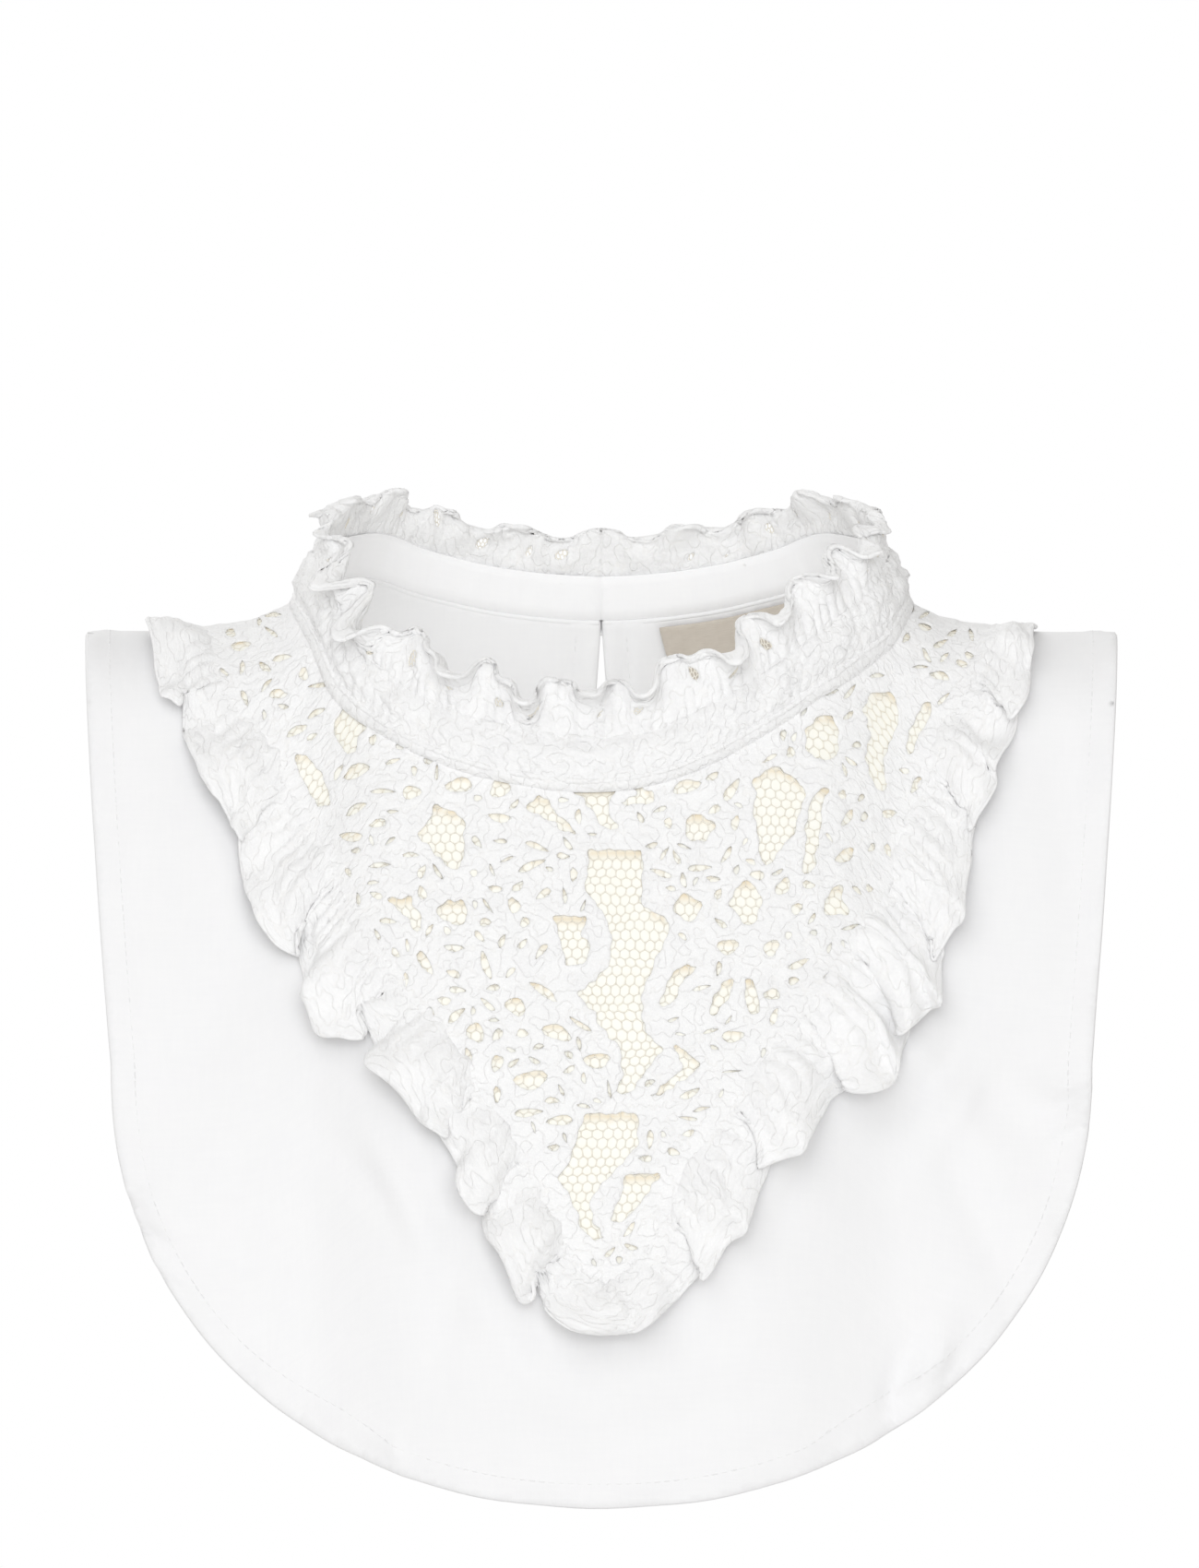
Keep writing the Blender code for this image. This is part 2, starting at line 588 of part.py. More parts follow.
def back_outline(sign):
    # One half of the back: side, hem, middle seam, opening, neckline
    edge = bib_edge(BACK_HEM_HEIGHT, BACK)
    edge[:, 1] *= -1
    edge = edge[edge[:, 1] < SHOULDER_SEAM - SEAM_GAP]
    edge = np.concatenate([[[edge[0, 0], SHOULDER_SEAM - SEAM_GAP / 2]], edge])
    edge[:, 0] = np.maximum(edge[:, 0], SEAM_GAP / 2)
    hem = spaced(edge, OUTLINE_STEP)
    slit = spaced(slit_side()[::-1], OUTLINE_STEP)
    neck = neck_half(False)
    neck = spaced(neck[neck[:, 0] > 2 * SLIT_TOP_HALF], OUTLINE_STEP)
    half = np.concatenate([hem, slit, neck])
    return half if sign > 0 else mirrored(half)[::-1]


# Windows of the lace

def gap_outline(levels):
    # A gap from its levels: down one side and up the other
    rows = np.array(levels) / 1000
    down = rows[:, [1, 0]]
    up = rows[::-1][:, [2, 0]]
    seen = np.concatenate([down, up])
    return np.stack([seen[:, 0], front_depth(seen[:, 0], seen[:, 1])], axis=1)


def eye_outline(row):
    eye = dict(zip(EYE_COLUMNS, row))
    turns = np.linspace(0, 2 * math.pi, GAP_RADIUS_POINTS, endpoint=False)
    lean = math.radians(eye["turn"])
    long_way, wide_way = np.cos(turns) * eye["long"], np.sin(turns) * eye["wide"]
    x = eye["x"] + long_way * math.cos(lean) - wide_way * math.sin(lean)
    height = eye["height"] + long_way * math.sin(lean) + wide_way * math.cos(lean)
    return np.stack([x / 1000, front_depth(x / 1000, height / 1000)], axis=1)


def lace_windows(outline):
    # Gaps first, then each eye, as long as it keeps its distance from the edge and the others
    kept = []
    for window in [*map(gap_outline, GAPS), *map(eye_outline, EYES)]:
        clear = inside(window, outline).all() and nearest(window, outline).min() > WINDOW_MARGIN
        for other in kept:
            if not clear:
                break
            apart = nearest(window, other).min() > WINDOW_MARGIN
            clear = apart and not inside(window, other).any() and not inside(other, window).any()
        if clear:
            kept.append(window)
    return kept


# Neck ring

def ring():
    # The seam of the collar all round, from one side of the closure to the other
    place = neckline()
    on_back = eased((-place[:, 1] - 0.001) / 0.012)
    lift = BAND_CLEAR + FRILL_LIFT + (CLOTH + SEAM_GAP - FRILL_LIFT) * on_back
    line = cloth_point(place[:, 0], place[:, 1], lift)
    line[0, 0] = line[-1, 0] = 0.0
    along = np.concatenate([[0], np.cumsum(np.linalg.norm(np.diff(line, axis=0), axis=1))])
    return along, line


def ring_frames(distances):
    # Point, outward direction and upward direction at each distance round the ring
    along, line = RING
    point = np.stack([np.interp(distances, along, line[:, k]) for k in range(3)], axis=1)
    step = 0.003
    ahead = np.clip(distances + step, 0, along[-1])
    behind = np.clip(distances - step, 0, along[-1])
    way = np.stack([
        np.interp(ahead, along, line[:, k]) - np.interp(behind, along, line[:, k])
        for k in (0, 1)
    ], axis=1)
    way /= np.linalg.norm(way, axis=1, keepdims=True)
    out = np.stack([way[:, 1], -way[:, 0], np.zeros(len(way))], axis=1)
    out *= np.sign((out * point).sum(axis=1))[:, None]
    up = np.array([0, 0, 1]) * math.cos(BAND_LEAN) - out * math.sin(BAND_LEAN)
    return point, out, up


def ring_distances(step):
    length = RING[0][-1]
    count = int(round(length / step))
    return np.linspace(CLOSURE_HALF_GAP, length - CLOSURE_HALF_GAP, count + 1)


def ring_strip(name, distances, heights, outward, thickness, finish):
    # A strip round the neck; outward(distance, height) is how far it stands out
    point, out, up = ring_frames(distances)
    skins = []
    for side in (0.5, -0.5):
        rows = [
            point + up * height + out * (outward(distances, height) + side * thickness)[:, None]
            for height in heights
        ]
        skins.append(np.stack(rows, axis=1).reshape(-1, 3))
    return wall(name, *skins, grid_faces(len(distances), len(heights)), finish)


# Pieces

def make_panels(poplin, voile, lace):
    outline = front_outline()

    def hemmed(edges):
        def thickness(flat):
            near = np.full(len(flat), np.inf)
            for line in edges:
                near = np.minimum(near, nearest(flat, line))
            return CLOTH + HEM_EXTRA * (1 - eased((near - HEM_WIDTH) / 0.001))
        return thickness

    edge = bib_edge(FRONT_HEM_HEIGHT, FRONT)
    loop = np.concatenate([mirrored(edge), edge[::-1], [[0, -0.2]]])
    panel("front_bib", outline, [], PANEL_STEP, 0.0, hemmed([loop]), poplin)
    edge = bib_edge(BACK_HEM_HEIGHT, BACK) * np.array([1, -1])
    loop = np.concatenate([mirrored(edge), edge[::-1], [[0, 0.2]]])
    opening = np.concatenate([slit_side(), mirrored(slit_side())[::-1]])
    for name, sign in (("back_bib_left", 1), ("back_bib_right", -1)):
        panel(name, back_outline(sign), [], PANEL_STEP, 0.0, hemmed([loop, opening]), poplin)
    yoke = yoke_outline()
    panel("yoke_lining", yoke, [], YOKE_STEP, 0.0, lambda flat: np.full(len(flat), CLOTH), voile)
    windows = lace_windows(yoke)
    panel("yoke_lace", yoke, windows, YOKE_STEP, LACE_LIFT, lambda flat: np.full(len(flat), LACE), lace)


def make_collar(poplin, lace):
    distances = ring_distances(RING_STEP)
    ring_strip(
        "collar_band", distances, np.linspace(0, BAND_HEIGHT, 3),
        lambda at, height: 0 * at, BAND_WALL, lace,
    )
    facing_in = (BAND_WALL + CLOTH) / 2 + SEAM_GAP
    ring_strip(
        "collar_facing", distances, np.linspace(0.0002, BAND_HEIGHT, 2),
        lambda at, height: 0 * at - facing_in, CLOTH, poplin,
    )


def neck_folds():
    # All folds round the collar: even ones up to the first of the table and after the last
    first, last = NECK_FOLDS[0][0], NECK_FOLDS[-1][0]
    even = NECK_EVEN_HEIGHT
    before, after = [], []
    for k in range(NECK_EVEN_FOLDS):
        side = 1 if k % 2 else -1
        uneven = 1 + 0.3 * math.sin(2.3 * k)
        middle = even["back"] + (even["side"] - even["back"]) * k / NECK_EVEN_FOLDS
        fold = (middle - side * even["change"] * uneven, side * NECK_EVEN_OUT * uneven)
        before.append((first * k / NECK_EVEN_FOLDS, *fold))
        after.append((1 - (1 - last) * k / NECK_EVEN_FOLDS, *fold))
    return np.array(before + list(NECK_FOLDS) + after[::-1])


def eased_between(at, knots, values):
    # Values at the knots with a smooth rise from each to the next
    spot = np.clip(np.searchsorted(knots, at, side="right") - 1, 0, len(knots) - 2)
    share = eased((at - knots[spot]) / (knots[spot + 1] - knots[spot]))
    return values[spot] + (values[spot + 1] - values[spot]) * share


def make_neck_frill(lace):
    length = RING[0][-1]
    distances = ring_distances(length / 190)
    point, out, up = ring_frames(distances)
    folds = neck_folds()
    total = eased_between(distances / length, folds[:, 0], folds[:, 1]) / 1000
    swing = eased_between(distances / length, folds[:, 0], folds[:, 2]) / 1000
    swing *= 0.1 + 0.9 * eased(np.minimum(distances, length - distances) / 0.008)
    foot = BAND_HEIGHT + 3 * SEAM_GAP
    free = total / math.cos(BAND_LEAN) - foot
    columns = []
    for share in np.linspace(0, 1, 4):
        place = point + up * (foot + free * share)[:, None] + out * (swing * share)[:, None]
        columns.append(place)
    middle = np.stack(columns, axis=1)
    skins = thick_skins(middle, LACE)
    wall("neck_frill", *skins, grid_faces(len(distances), middle.shape[1]), lace)


def thick_skins(middle, thickness):
    # Two skins on either side of a grid of points
    along = np.gradient(middle, axis=0)
    across = np.gradient(middle, axis=1)
    normal = np.cross(along, across)
    normal /= np.linalg.norm(normal, axis=-1, keepdims=True)
    half = thickness / 2
    return (middle + half * normal).reshape(-1, 3), (middle - half * normal).reshape(-1, 3)


def fold_frames(share, folds):
    # For each share of the way down: the place within its fold, its lift and its reach
    ends = np.array([0.0] + [row[0] for row in folds] + [2.0 - folds[-1][0]])
    fold = np.clip(np.searchsorted(ends, share, side="right") - 1, 0, len(ends) - 2)
    within = (share - ends[fold]) / (ends[fold + 1] - ends[fold])
    middles = (ends[1:] + ends[:-1]) / 2
    found = [within]
    for column in ("lift", "reach"):
        at = FRILL_FOLD_COLUMNS.index(column)
        values = [row[at] for row in folds] + [folds[-1][at]]
        found.append(np.interp(share, middles, values))
    return found


def make_v_frill(lace):
    left, right = yoke_seam_line("left"), yoke_seam_line("right")
    line = np.concatenate([left, right[::-1][1:]])
    along = np.concatenate([[0], np.cumsum(np.linalg.norm(np.diff(line, axis=0), axis=1))])
    tip = along[len(left) - 1]
    length = along[-1]
    at = np.linspace(0, length, 177)
    seam = np.stack([np.interp(at, along, line[:, k]) for k in (0, 1)], axis=1)
    seam[0, 1] = seam[-1, 1] = SHOULDER_SEAM + FRILL_END
    for _ in range(4):
        seam[1:-1] = (seam[:-2] + 2 * seam[1:-1] + seam[2:]) / 4
    way = np.gradient(seam, axis=0)
    way /= np.linalg.norm(way, axis=1, keepdims=True)
    out = np.stack([-way[:, 1], way[:, 0]], axis=1)
    on_left = at <= tip
    share = np.where(on_left, at / tip, (length - at) / (length - tip))
    within, lift, reach = (
        np.where(on_left, a, b)
        for a, b in zip(fold_frames(share, LEFT_FOLDS), fold_frames(share, RIGHT_FOLDS))
    )
    downward = np.where(on_left, 1.0, -1.0) * (1 - bell((at - tip) / 0.012))
    swell = np.sin(math.pi * clamped(within) ** 1.5) ** 1.2
    crest = np.sin(math.pi * clamped(within) ** 1.25) ** 2
    gather = np.sin(2 * math.pi * 3 * within)
    ends = eased(np.minimum(at, length - at) / 0.010)
    columns = []
    for row in np.linspace(0, 1, 5):
        spread = FRILL_WIDTH * reach * (1 - 0.26 * row * (1 - swell))
        away = -FRILL_TUCK + (spread + FRILL_TUCK) * row
        slide = FRILL_SWING * row * swell * downward * ends
        place = seam + out * away[:, None] + way * slide[:, None]
        place[:, 1] = np.maximum(place[:, 1], SHOULDER_SEAM + FRILL_END)
        root = FRILL_LIFT + FRILL_WALL / 2 + 0.0006
        low = root + (FRILL_LOW - root) * eased((away - 0.001) / 0.006)
        height = low + lift * crest * row ** 0.8 * (0.1 + 0.9 * ends)
        height = height + FRILL_GATHER * (1 + gather) / 2 * row * ends
        columns.append(cloth_point(place[:, 0], place[:, 1], height))
    middle = np.stack(columns, axis=1)
    skins = thick_skins(middle, FRILL_WALL)
    wall("v_frill", *skins, grid_faces(len(at), middle.shape[1]), lace)


def make_label(satin):
    # A folded woven label, hanging from the neck seam against the back
    low = LABEL["middle"] - LABEL["width"] / 2
    across = np.linspace(0, 1, 7)
    down = np.linspace(0, 1, 3)
    x = low + LABEL["width"] * across
    back = neck_half(False)
    top = np.stack([x, np.interp(x, back[:, 0], back[:, 1])], axis=1)
    columns = []
    for share in down:
        place_x = top[:, 0] + LABEL["lean"] * share
        depth = top[:, 1] - LABEL["below_seam"] - LABEL["drop"] * share
        columns.append(np.stack([place_x, depth], axis=1))
    flat = np.stack(columns, axis=1).reshape(-1, 2)
    outer = cloth_point(flat[:, 0], flat[:, 1], np.full(len(flat), -LABEL["clear"]))
    inner = cloth_point(flat[:, 0], flat[:, 1], np.full(len(flat), -LABEL["clear"] - 0.0008))
    wall("neck_label", outer, inner, grid_faces(len(across), len(down)), satin)


def closure_frame():
    # Point, outward and upward directions of the band at the middle of the back
    point, out, up = ring_frames(np.array([0.0]))
    return point[0], np.array([0.0, 1.0, 0.0]), up[0]


def make_button(shell):
    # A turned shank button on the outside of the band
    point, out, up = closure_frame()
    middle = point + up * BAND_HEIGHT * 0.42 + np.array([BUTTON_SIDE, 0, 0])
    foot = BAND_WALL / 2 + SEAM_GAP
    profile = (
        (0.0011, 0.0), (0.0011, 0.0011), (BUTTON_RADIUS * 0.86, 0.0012),
        (BUTTON_RADIUS, 0.0018), (BUTTON_RADIUS * 0.94, 0.0018 + BUTTON_THICKNESS * 0.45),
        (BUTTON_RADIUS * 0.62, 0.0012 + BUTTON_THICKNESS * 0.9),
    )
    sides = 20
    turns = np.linspace(0, 2 * math.pi, sides, endpoint=False)
    vertices = [middle + out * foot]
    for radius, height in profile:
        for turn in turns:
            vertices.append(
                middle + out * (foot + height)
                + radius * (math.cos(turn) * np.array([1.0, 0, 0]) + math.sin(turn) * up)
            )
    vertices.append(middle + out * (foot + 0.0012 + BUTTON_THICKNESS))
    last = len(vertices) - 1
    faces = []
    for side in range(sides):
        after = (side + 1) % sides
        faces.append((0, 1 + side, 1 + after))
        for level in range(len(profile) - 1):
            base = 1 + level * sides
            faces.append((base + side, base + after, base + sides + after, base + sides + side))
        base = 1 + (len(profile) - 1) * sides
        faces.append((last, base + after, base + side))
    add_object("back_button", vertices, faces, shell)


def make_loop(thread):
    # A thread loop from the other side of the closure round the button's shank
    point, out, up = closure_frame()
    middle = point + up * BAND_HEIGHT * 0.42
    away = BAND_WALL / 2 + SEAM_GAP + LOOP_WIRE
    root, around = -0.0045, 0.0021
    run = np.linspace(root, BUTTON_SIDE, 8)[:-1]
    bend = np.radians(np.linspace(-90, 90, 9))
    side = np.concatenate([run, BUTTON_SIDE + around * np.cos(bend), run[::-1]])
    rise = np.concatenate([run * 0 - around, around * np.sin(bend), run * 0 + around])
    places = middle + out * away + side[:, None] * np.array([1.0, 0, 0]) + rise[:, None] * up
    way = np.gradient(places, axis=0)
    way /= np.linalg.norm(way, axis=1, keepdims=True)
    across = np.cross(way, out)
    turns = np.linspace(0, 2 * math.pi, 6, endpoint=False)
    rings = [
        places + LOOP_WIRE * (math.cos(turn) * out + math.sin(turn) * across) for turn in turns
    ]
    vertices = np.stack(rings, axis=1).reshape(-1, 3)
    count = len(turns)
    faces = [tuple(range(count)), tuple(range(len(vertices) - count, len(vertices)))[::-1]]
    for i in range(len(places) - 1):
        for j in range(count):
            after = (j + 1) % count
            base = i * count
            faces.append((base + j, base + after, base + count + after, base + count + j))
    add_object("thread_loop", vertices, faces, thread)


def clear_scene():
    for item in list(bpy.data.objects):
        bpy.data.objects.remove(item)


RING = ring()


def main():
    clear_scene()
    poplin = material("white_poplin", (0.93, 0.93, 0.94), 0.75)
    voile = material("cream_voile", (0.95, 0.92, 0.84), 0.85)
    lace = material("white_lace", (0.94, 0.94, 0.94), 0.9)
    satin = material("beige_satin", (0.62, 0.53, 0.44), 0.5)
    shell = material("white_shell", (0.92, 0.90, 0.87), 0.25)
    thread = material("white_thread", (0.93, 0.93, 0.93), 0.8)
    make_panels(poplin, voile, lace)
    make_collar(poplin, lace)
    make_neck_frill(lace)
    make_v_frill(lace)
    make_label(satin)
    make_button(shell)
    make_loop(thread)


main()
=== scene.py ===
import math

import bpy
import numpy as np
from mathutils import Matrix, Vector
from mathutils.geometry import delaunay_2d_cdt


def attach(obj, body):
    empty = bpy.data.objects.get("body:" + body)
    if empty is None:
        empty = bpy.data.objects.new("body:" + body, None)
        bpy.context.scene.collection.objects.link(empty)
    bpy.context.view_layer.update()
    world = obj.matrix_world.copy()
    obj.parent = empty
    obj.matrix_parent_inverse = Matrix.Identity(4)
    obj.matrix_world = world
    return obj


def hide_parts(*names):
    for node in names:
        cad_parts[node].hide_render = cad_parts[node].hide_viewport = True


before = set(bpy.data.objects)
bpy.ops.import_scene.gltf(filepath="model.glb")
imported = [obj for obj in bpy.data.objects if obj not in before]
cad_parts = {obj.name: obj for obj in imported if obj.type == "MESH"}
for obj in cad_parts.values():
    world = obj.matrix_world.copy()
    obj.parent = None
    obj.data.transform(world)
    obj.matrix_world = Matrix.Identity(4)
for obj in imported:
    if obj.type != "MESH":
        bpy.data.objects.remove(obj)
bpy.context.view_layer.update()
print("frame loaded:", len(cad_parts), "nodes")

# The figure that the cloth lies on: a shoulder ridge, a chest side and a back side.
# A place on the cloth is (x, depth): depth runs along the cloth from the ridge,
# positive down the chest and negative down the back.
figure = dict(
    neckHalfWidth=0.077, ridgeY=0.008, ridgeEnd=-0.0099, ridgeRise=0.0222,
    riseFrom=0.054, riseFall=0.0242, halfWidth=0.1345, shoulderSeam=-0.005,
)
chest = dict(
    way=-1, ridgeShift=0.006, radius=0.040, radiusInner=0.006, riseInner=0.0,
    slope=59.0, slopeOuter=9.0, run=0.190, endSlope=-0.05,
)
upperBack = dict(
    way=1, ridgeShift=0.017, radius=0.040, radiusInner=-0.008, riseInner=0.006,
    slope=66.0, slopeOuter=4.0, run=0.160, endSlope=-0.02,
)

# Main creases in millimetres: middle x and height, long and wide half lengths,
# how far out; then the turn in degrees
mainCreases = (
    (chest, (
        (123, -55, 46, 8.5, -2.4, 2), (84, -122, 32, 8, 2.2, 38), (98, -162, 26, 6, -1.8, 24),
        (85, -199, 15, 3.6, 2.6, -22), (77, -205, 13, 3.4, -2.4, -14), (119, -135, 12, 5, 1.8, 60),
        (-38, -170, 30, 6, -2, -8), (-92, -94, 46, 11, -2, -30), (-112, -160, 22, 7, 1.8, 34),
        (-24, -204, 18, 10, 1.6, 82), (18, -214, 20, 7, -1.4, -76),
    )),
    (upperBack, (
        (-70, -85, 50, 10, -2.4, 12), (74, -105, 44, 9, 2.2, -16), (-100, -40, 30, 8, 1.6, 40),
        (102, -50, 36, 8, -1.8, -28), (-34, -160, 24, 7, 1.8, -20), (38, -150, 26, 8, -2, 24),
    )),
)


def bell(offset):
    return np.exp(-offset * offset)


def clamped(value, low=0.0, high=1.0):
    return np.minimum(np.maximum(value, low), high)


def eased(value):
    share = clamped(value)
    return share * share * (3 - 2 * share)


def unit(ways):
    return ways / np.maximum(np.linalg.norm(ways, axis=-1, keepdims=True), 1e-15)


def uneven(x, y, size, seed):
    # Smooth irregular waves of about one size, mostly between -1 and 1
    dice, waves, total = np.random.default_rng(seed), 9, 0.0
    for _ in range(waves):
        turn, phase = dice.uniform(0, 2 * math.pi, 2)
        pitch = size * dice.uniform(0.7, 1.5)
        total = total + np.sin((x * math.cos(turn) + y * math.sin(turn)) * 2 * math.pi / pitch + phase)
    return total * 0.8 / math.sqrt(waves)


def crumpled(x, y, row):
    # Uneven waves from a row of height, size and seed
    height, size, seed = row
    return height * uneven(x, y, size, seed)


def meshStep(fine):
    return fine


def sectionAt(x, side):
    inner = (1 - clamped(np.abs(x) / figure["neckHalfWidth"]) ** 4) ** 2
    out = np.maximum(0.0, np.abs(x) - figure["riseFrom"])
    turn = np.radians(side["slope"] + side["slopeOuter"] * clamped(np.abs(x) / figure["halfWidth"]) ** 2)
    return dict(
        ridgeY=figure["ridgeY"] + side["way"] * side["ridgeShift"] * inner,
        ridgeZ=figure["ridgeEnd"] + figure["ridgeRise"] * bell(out / figure["riseFall"])
        + side["riseInner"] * inner,
        radius=side["radius"] + side["radiusInner"] * inner,
        turn=turn,
        slope=1 / np.tan(turn),
    )


def rollDown(x, down, side):
    section = sectionAt(x, side)
    rolled = section["radius"] * section["turn"]
    angle = np.minimum(down, rolled) / section["radius"]
    past = np.maximum(0.0, down - rolled)
    fall = (section["slope"] - side["endSlope"]) * past * past / (2 * side["run"])
    away = section["radius"] * np.sin(angle) + section["slope"] * past - fall
    y = section["ridgeY"] + side["way"] * away
    return y, section["ridgeZ"] - section["radius"] * (1 - np.cos(angle)) - past


def depthAt(x, z, side):
    section = sectionAt(x, side)
    drop = np.maximum(0.0, section["ridgeZ"] - z)
    rollDrop = section["radius"] * (1 - np.cos(section["turn"]))
    within = clamped(1 - np.minimum(drop, rollDrop) / section["radius"], -1, 1)
    return section["radius"] * np.arccos(within) + np.maximum(0.0, drop - rollDrop)


def barePoint(x, depth):
    frontY, frontZ = rollDown(x, np.maximum(depth, 0.0), chest)
    backY, backZ = rollDown(x, np.maximum(-depth, 0.0), upperBack)
    onFront = depth >= 0
    return np.stack([x, np.where(onFront, frontY, backY), np.where(onFront, frontZ, backZ)], axis=-1)


def bareNormal(x, depth):
    step = 0.0004
    across = barePoint(x + step, depth) - barePoint(x - step, depth)
    along = barePoint(x, depth + step) - barePoint(x, depth - step)
    return unit(np.cross(along, across))


def creaseHeight(x, depth, creases):
    height = np.zeros_like(x)
    for side, rows in creases:
        for row in rows:
            midX, midZ, longWay, wideWay, out = np.array(row[:5]) / 1000
            middle = -side["way"] * depthAt(midX, midZ, side)
            lean = math.radians(row[5])
            dx, dd = x - midX, depth - middle
            along = (dd * math.cos(lean) + dx * math.sin(lean)) / longWay
            across = (dx * math.cos(lean) - dd * math.sin(lean)) / wideWay
            height += out * bell(along) * bell(across)
    return height


def clothPoint(x, depth, lift, creases=mainCreases):
    x, depth = np.asarray(x, float), np.asarray(depth, float)
    away = np.asarray(lift, float) + creaseHeight(x, depth, creases)
    return barePoint(x, depth) + bareNormal(x, depth) * away[..., None]


def frontDepth(x, height):
    return depthAt(np.asarray(x, float), np.asarray(height, float), chest)


# Lines in the plane of the cloth

def smoothLine(knots, steps):
    ends = np.concatenate([[2 * knots[0] - knots[1]], knots, [2 * knots[-1] - knots[-2]]])
    share = np.linspace(0, 1, steps, endpoint=False)[:, None]
    curve = []
    for a, b, c, d in zip(ends[:-3], ends[1:-2], ends[2:-1], ends[3:]):
        curve.append(0.5 * (
            2 * b + (c - a) * share + (2 * a - 5 * b + 4 * c - d) * share ** 2
            + (3 * b - a - 3 * c + d) * share ** 3
        ))
    return np.concatenate([*curve, knots[-1:]])


def smoothRing(knots, steps):
    wrapped = np.concatenate([knots[-1:], knots, knots[:2]])
    return smoothLine(wrapped, steps)[steps:-steps]


def lengthsAlong(line):
    return np.concatenate([[0], np.cumsum(np.linalg.norm(np.diff(line, axis=0), axis=1))])


def pointsAt(at, along, line):
    # Points of a line at distances along it
    return np.stack([np.interp(at, along, line[:, k]) for k in range(line.shape[1])], axis=-1)


def spaced(line, step):
    line = np.asarray(line, float)
    along = lengthsAlong(line)
    at = np.linspace(0, along[-1], max(2, int(round(along[-1] / step)) + 1))
    return pointsAt(at, along, line)


def softened(line, passes):
    # The ends stay, the other points move towards the middle of their neighbours
    line = line.copy()
    for _ in range(passes):
        line[1:-1] = (line[:-2] + 2 * line[1:-1] + line[2:]) / 4
    return line


def filledLoop(loop, step):
    # A closed line with points added wherever two are further apart than a step
    whole = []
    for a, b in zip(loop, np.roll(loop, -1, axis=0)):
        parts = max(1, int(np.ceil(np.linalg.norm(b - a) / step - 0.5)))
        whole += [a + (b - a) * k / parts for k in range(parts)]
    return np.array(whole)


def mirrored(line):
    return line * np.array([-1, 1])


def movedAside(line, distance):
    way = unit(np.gradient(line, axis=0))
    return line + distance * np.stack([way[:, 1], -way[:, 0]], axis=1)


def insideOf(points, loop):
    found = np.zeros(len(points), bool)
    low, high = loop.min(axis=0), loop.max(axis=0)
    close = np.where(((points >= low) & (points <= high)).all(axis=1))[0]
    x, y = points[close, 0], points[close, 1]
    crossings = np.zeros(len(close), int)
    for (ax, ay), (bx, by) in zip(loop, np.roll(loop, -1, axis=0)):
        if ay == by:
            continue
        spans = (ay > y) != (by > y)
        crossings += spans & (x < ax + (y - ay) * (bx - ax) / (by - ay))
    found[close] = crossings % 2 == 1
    return found


def nearestTo(points, loop, reach, closed=True):
    # Distance of each point from a line, no more than a reach
    best = np.full(len(points), float(reach))
    low, high = loop.min(axis=0) - reach, loop.max(axis=0) + reach
    close = np.where(((points > low) & (points < high)).all(axis=1))[0]
    near, found = points[close], np.full(len(close), float(reach))
    pairs = zip(loop, np.roll(loop, -1, axis=0)) if closed else zip(loop[:-1], loop[1:])
    for a, b in pairs:
        span = b - a
        share = clamped(((near - a) @ span) / max(span @ span, 1e-18))
        gap = near - a - share[:, None] * span
        found = np.minimum(found, np.hypot(gap[:, 0], gap[:, 1]))
    best[close] = found
    return best


def nearestOf(points, lines, reach, closed=True):
    best = np.full(len(points), float(reach))
    for line in lines:
        best = np.minimum(best, nearestTo(points, line, reach, closed))
    return best


cutting = dict(rowPitch=0.866, edgeClear=0.5, windowClear=0.4, weldWithin=1e-8)


def cutSheet(outline, windows, step):
    # Triangles of a flat cut piece: points on its edges and an even lattice between them
    low, high = outline.min(axis=0), outline.max(axis=0)
    columns = np.arange(low[0] + step / 2, high[0], step)
    rows = np.arange(low[1] + step / 2, high[1], step * cutting["rowPitch"])
    lattice = np.array([(x + (k % 2) * step / 2, d) for k, d in enumerate(rows) for x in columns])
    kept = insideOf(lattice, outline) & (nearestTo(lattice, outline, step) > step * cutting["edgeClear"])
    for window in windows:
        clear = nearestTo(lattice, window, step) > step * cutting["windowClear"]
        kept &= ~insideOf(lattice, window) & clear
    points, edges = [], []
    for loop in [outline, *windows]:
        start, count = len(points), len(loop)
        points += [Vector(p) for p in loop]
        edges += [(start + k, start + (k + 1) % count) for k in range(count)]
    points += [Vector(p) for p in lattice[kept]]
    found = delaunay_2d_cdt(points, edges, [], 0, cutting["weldWithin"])
    flat = np.array([tuple(v) for v in found[0]])
    faces = np.array([tuple(f) for f in found[2] if len(f) == 3])
    middle = flat[faces].mean(axis=1)
    wanted = insideOf(middle, outline)
    for window in windows:
        wanted &= ~insideOf(middle, window)
    used, packed = np.unique(faces[wanted], return_inverse=True)
    return flat[used], packed.reshape(-1, 3)


# Meshes

placesPerMetre = 10  # cloth places of the finishes, in tenths of a metre
rimShare = 0.9       # how far a shell's edge rounds out, of half its wall


def addMesh(name, vertices, faces, finish, places=None, paintedShades=None):
    mesh = bpy.data.meshes.new(name)
    mesh.from_pydata(np.asarray(vertices).tolist(), [], faces)
    if places is not None:
        corners = np.zeros(len(mesh.loops), int)
        mesh.loops.foreach_get("vertex_index", corners)
        layer = mesh.uv_layers.new(name="cloth")
        spots = np.asarray(places)[corners] * placesPerMetre
        layer.data.foreach_set("uv", spots.astype(np.float32).ravel())
    # Amounts of painted shade per point, for the finish to mix in
    if paintedShades is not None:
        paintedShade = mesh.attributes.new("paintedShade", "FLOAT", "POINT")
        paintedShade.data.foreach_set("value", np.asarray(paintedShades, np.float32))
    mesh.shade_smooth()
    mesh.materials.append(finish)
    mesh.validate()
    made = bpy.data.objects.new(name, mesh)
    bpy.context.scene.collection.objects.link(made)
    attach(made, "root")
    return made


def standFor(node):
    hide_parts(node)


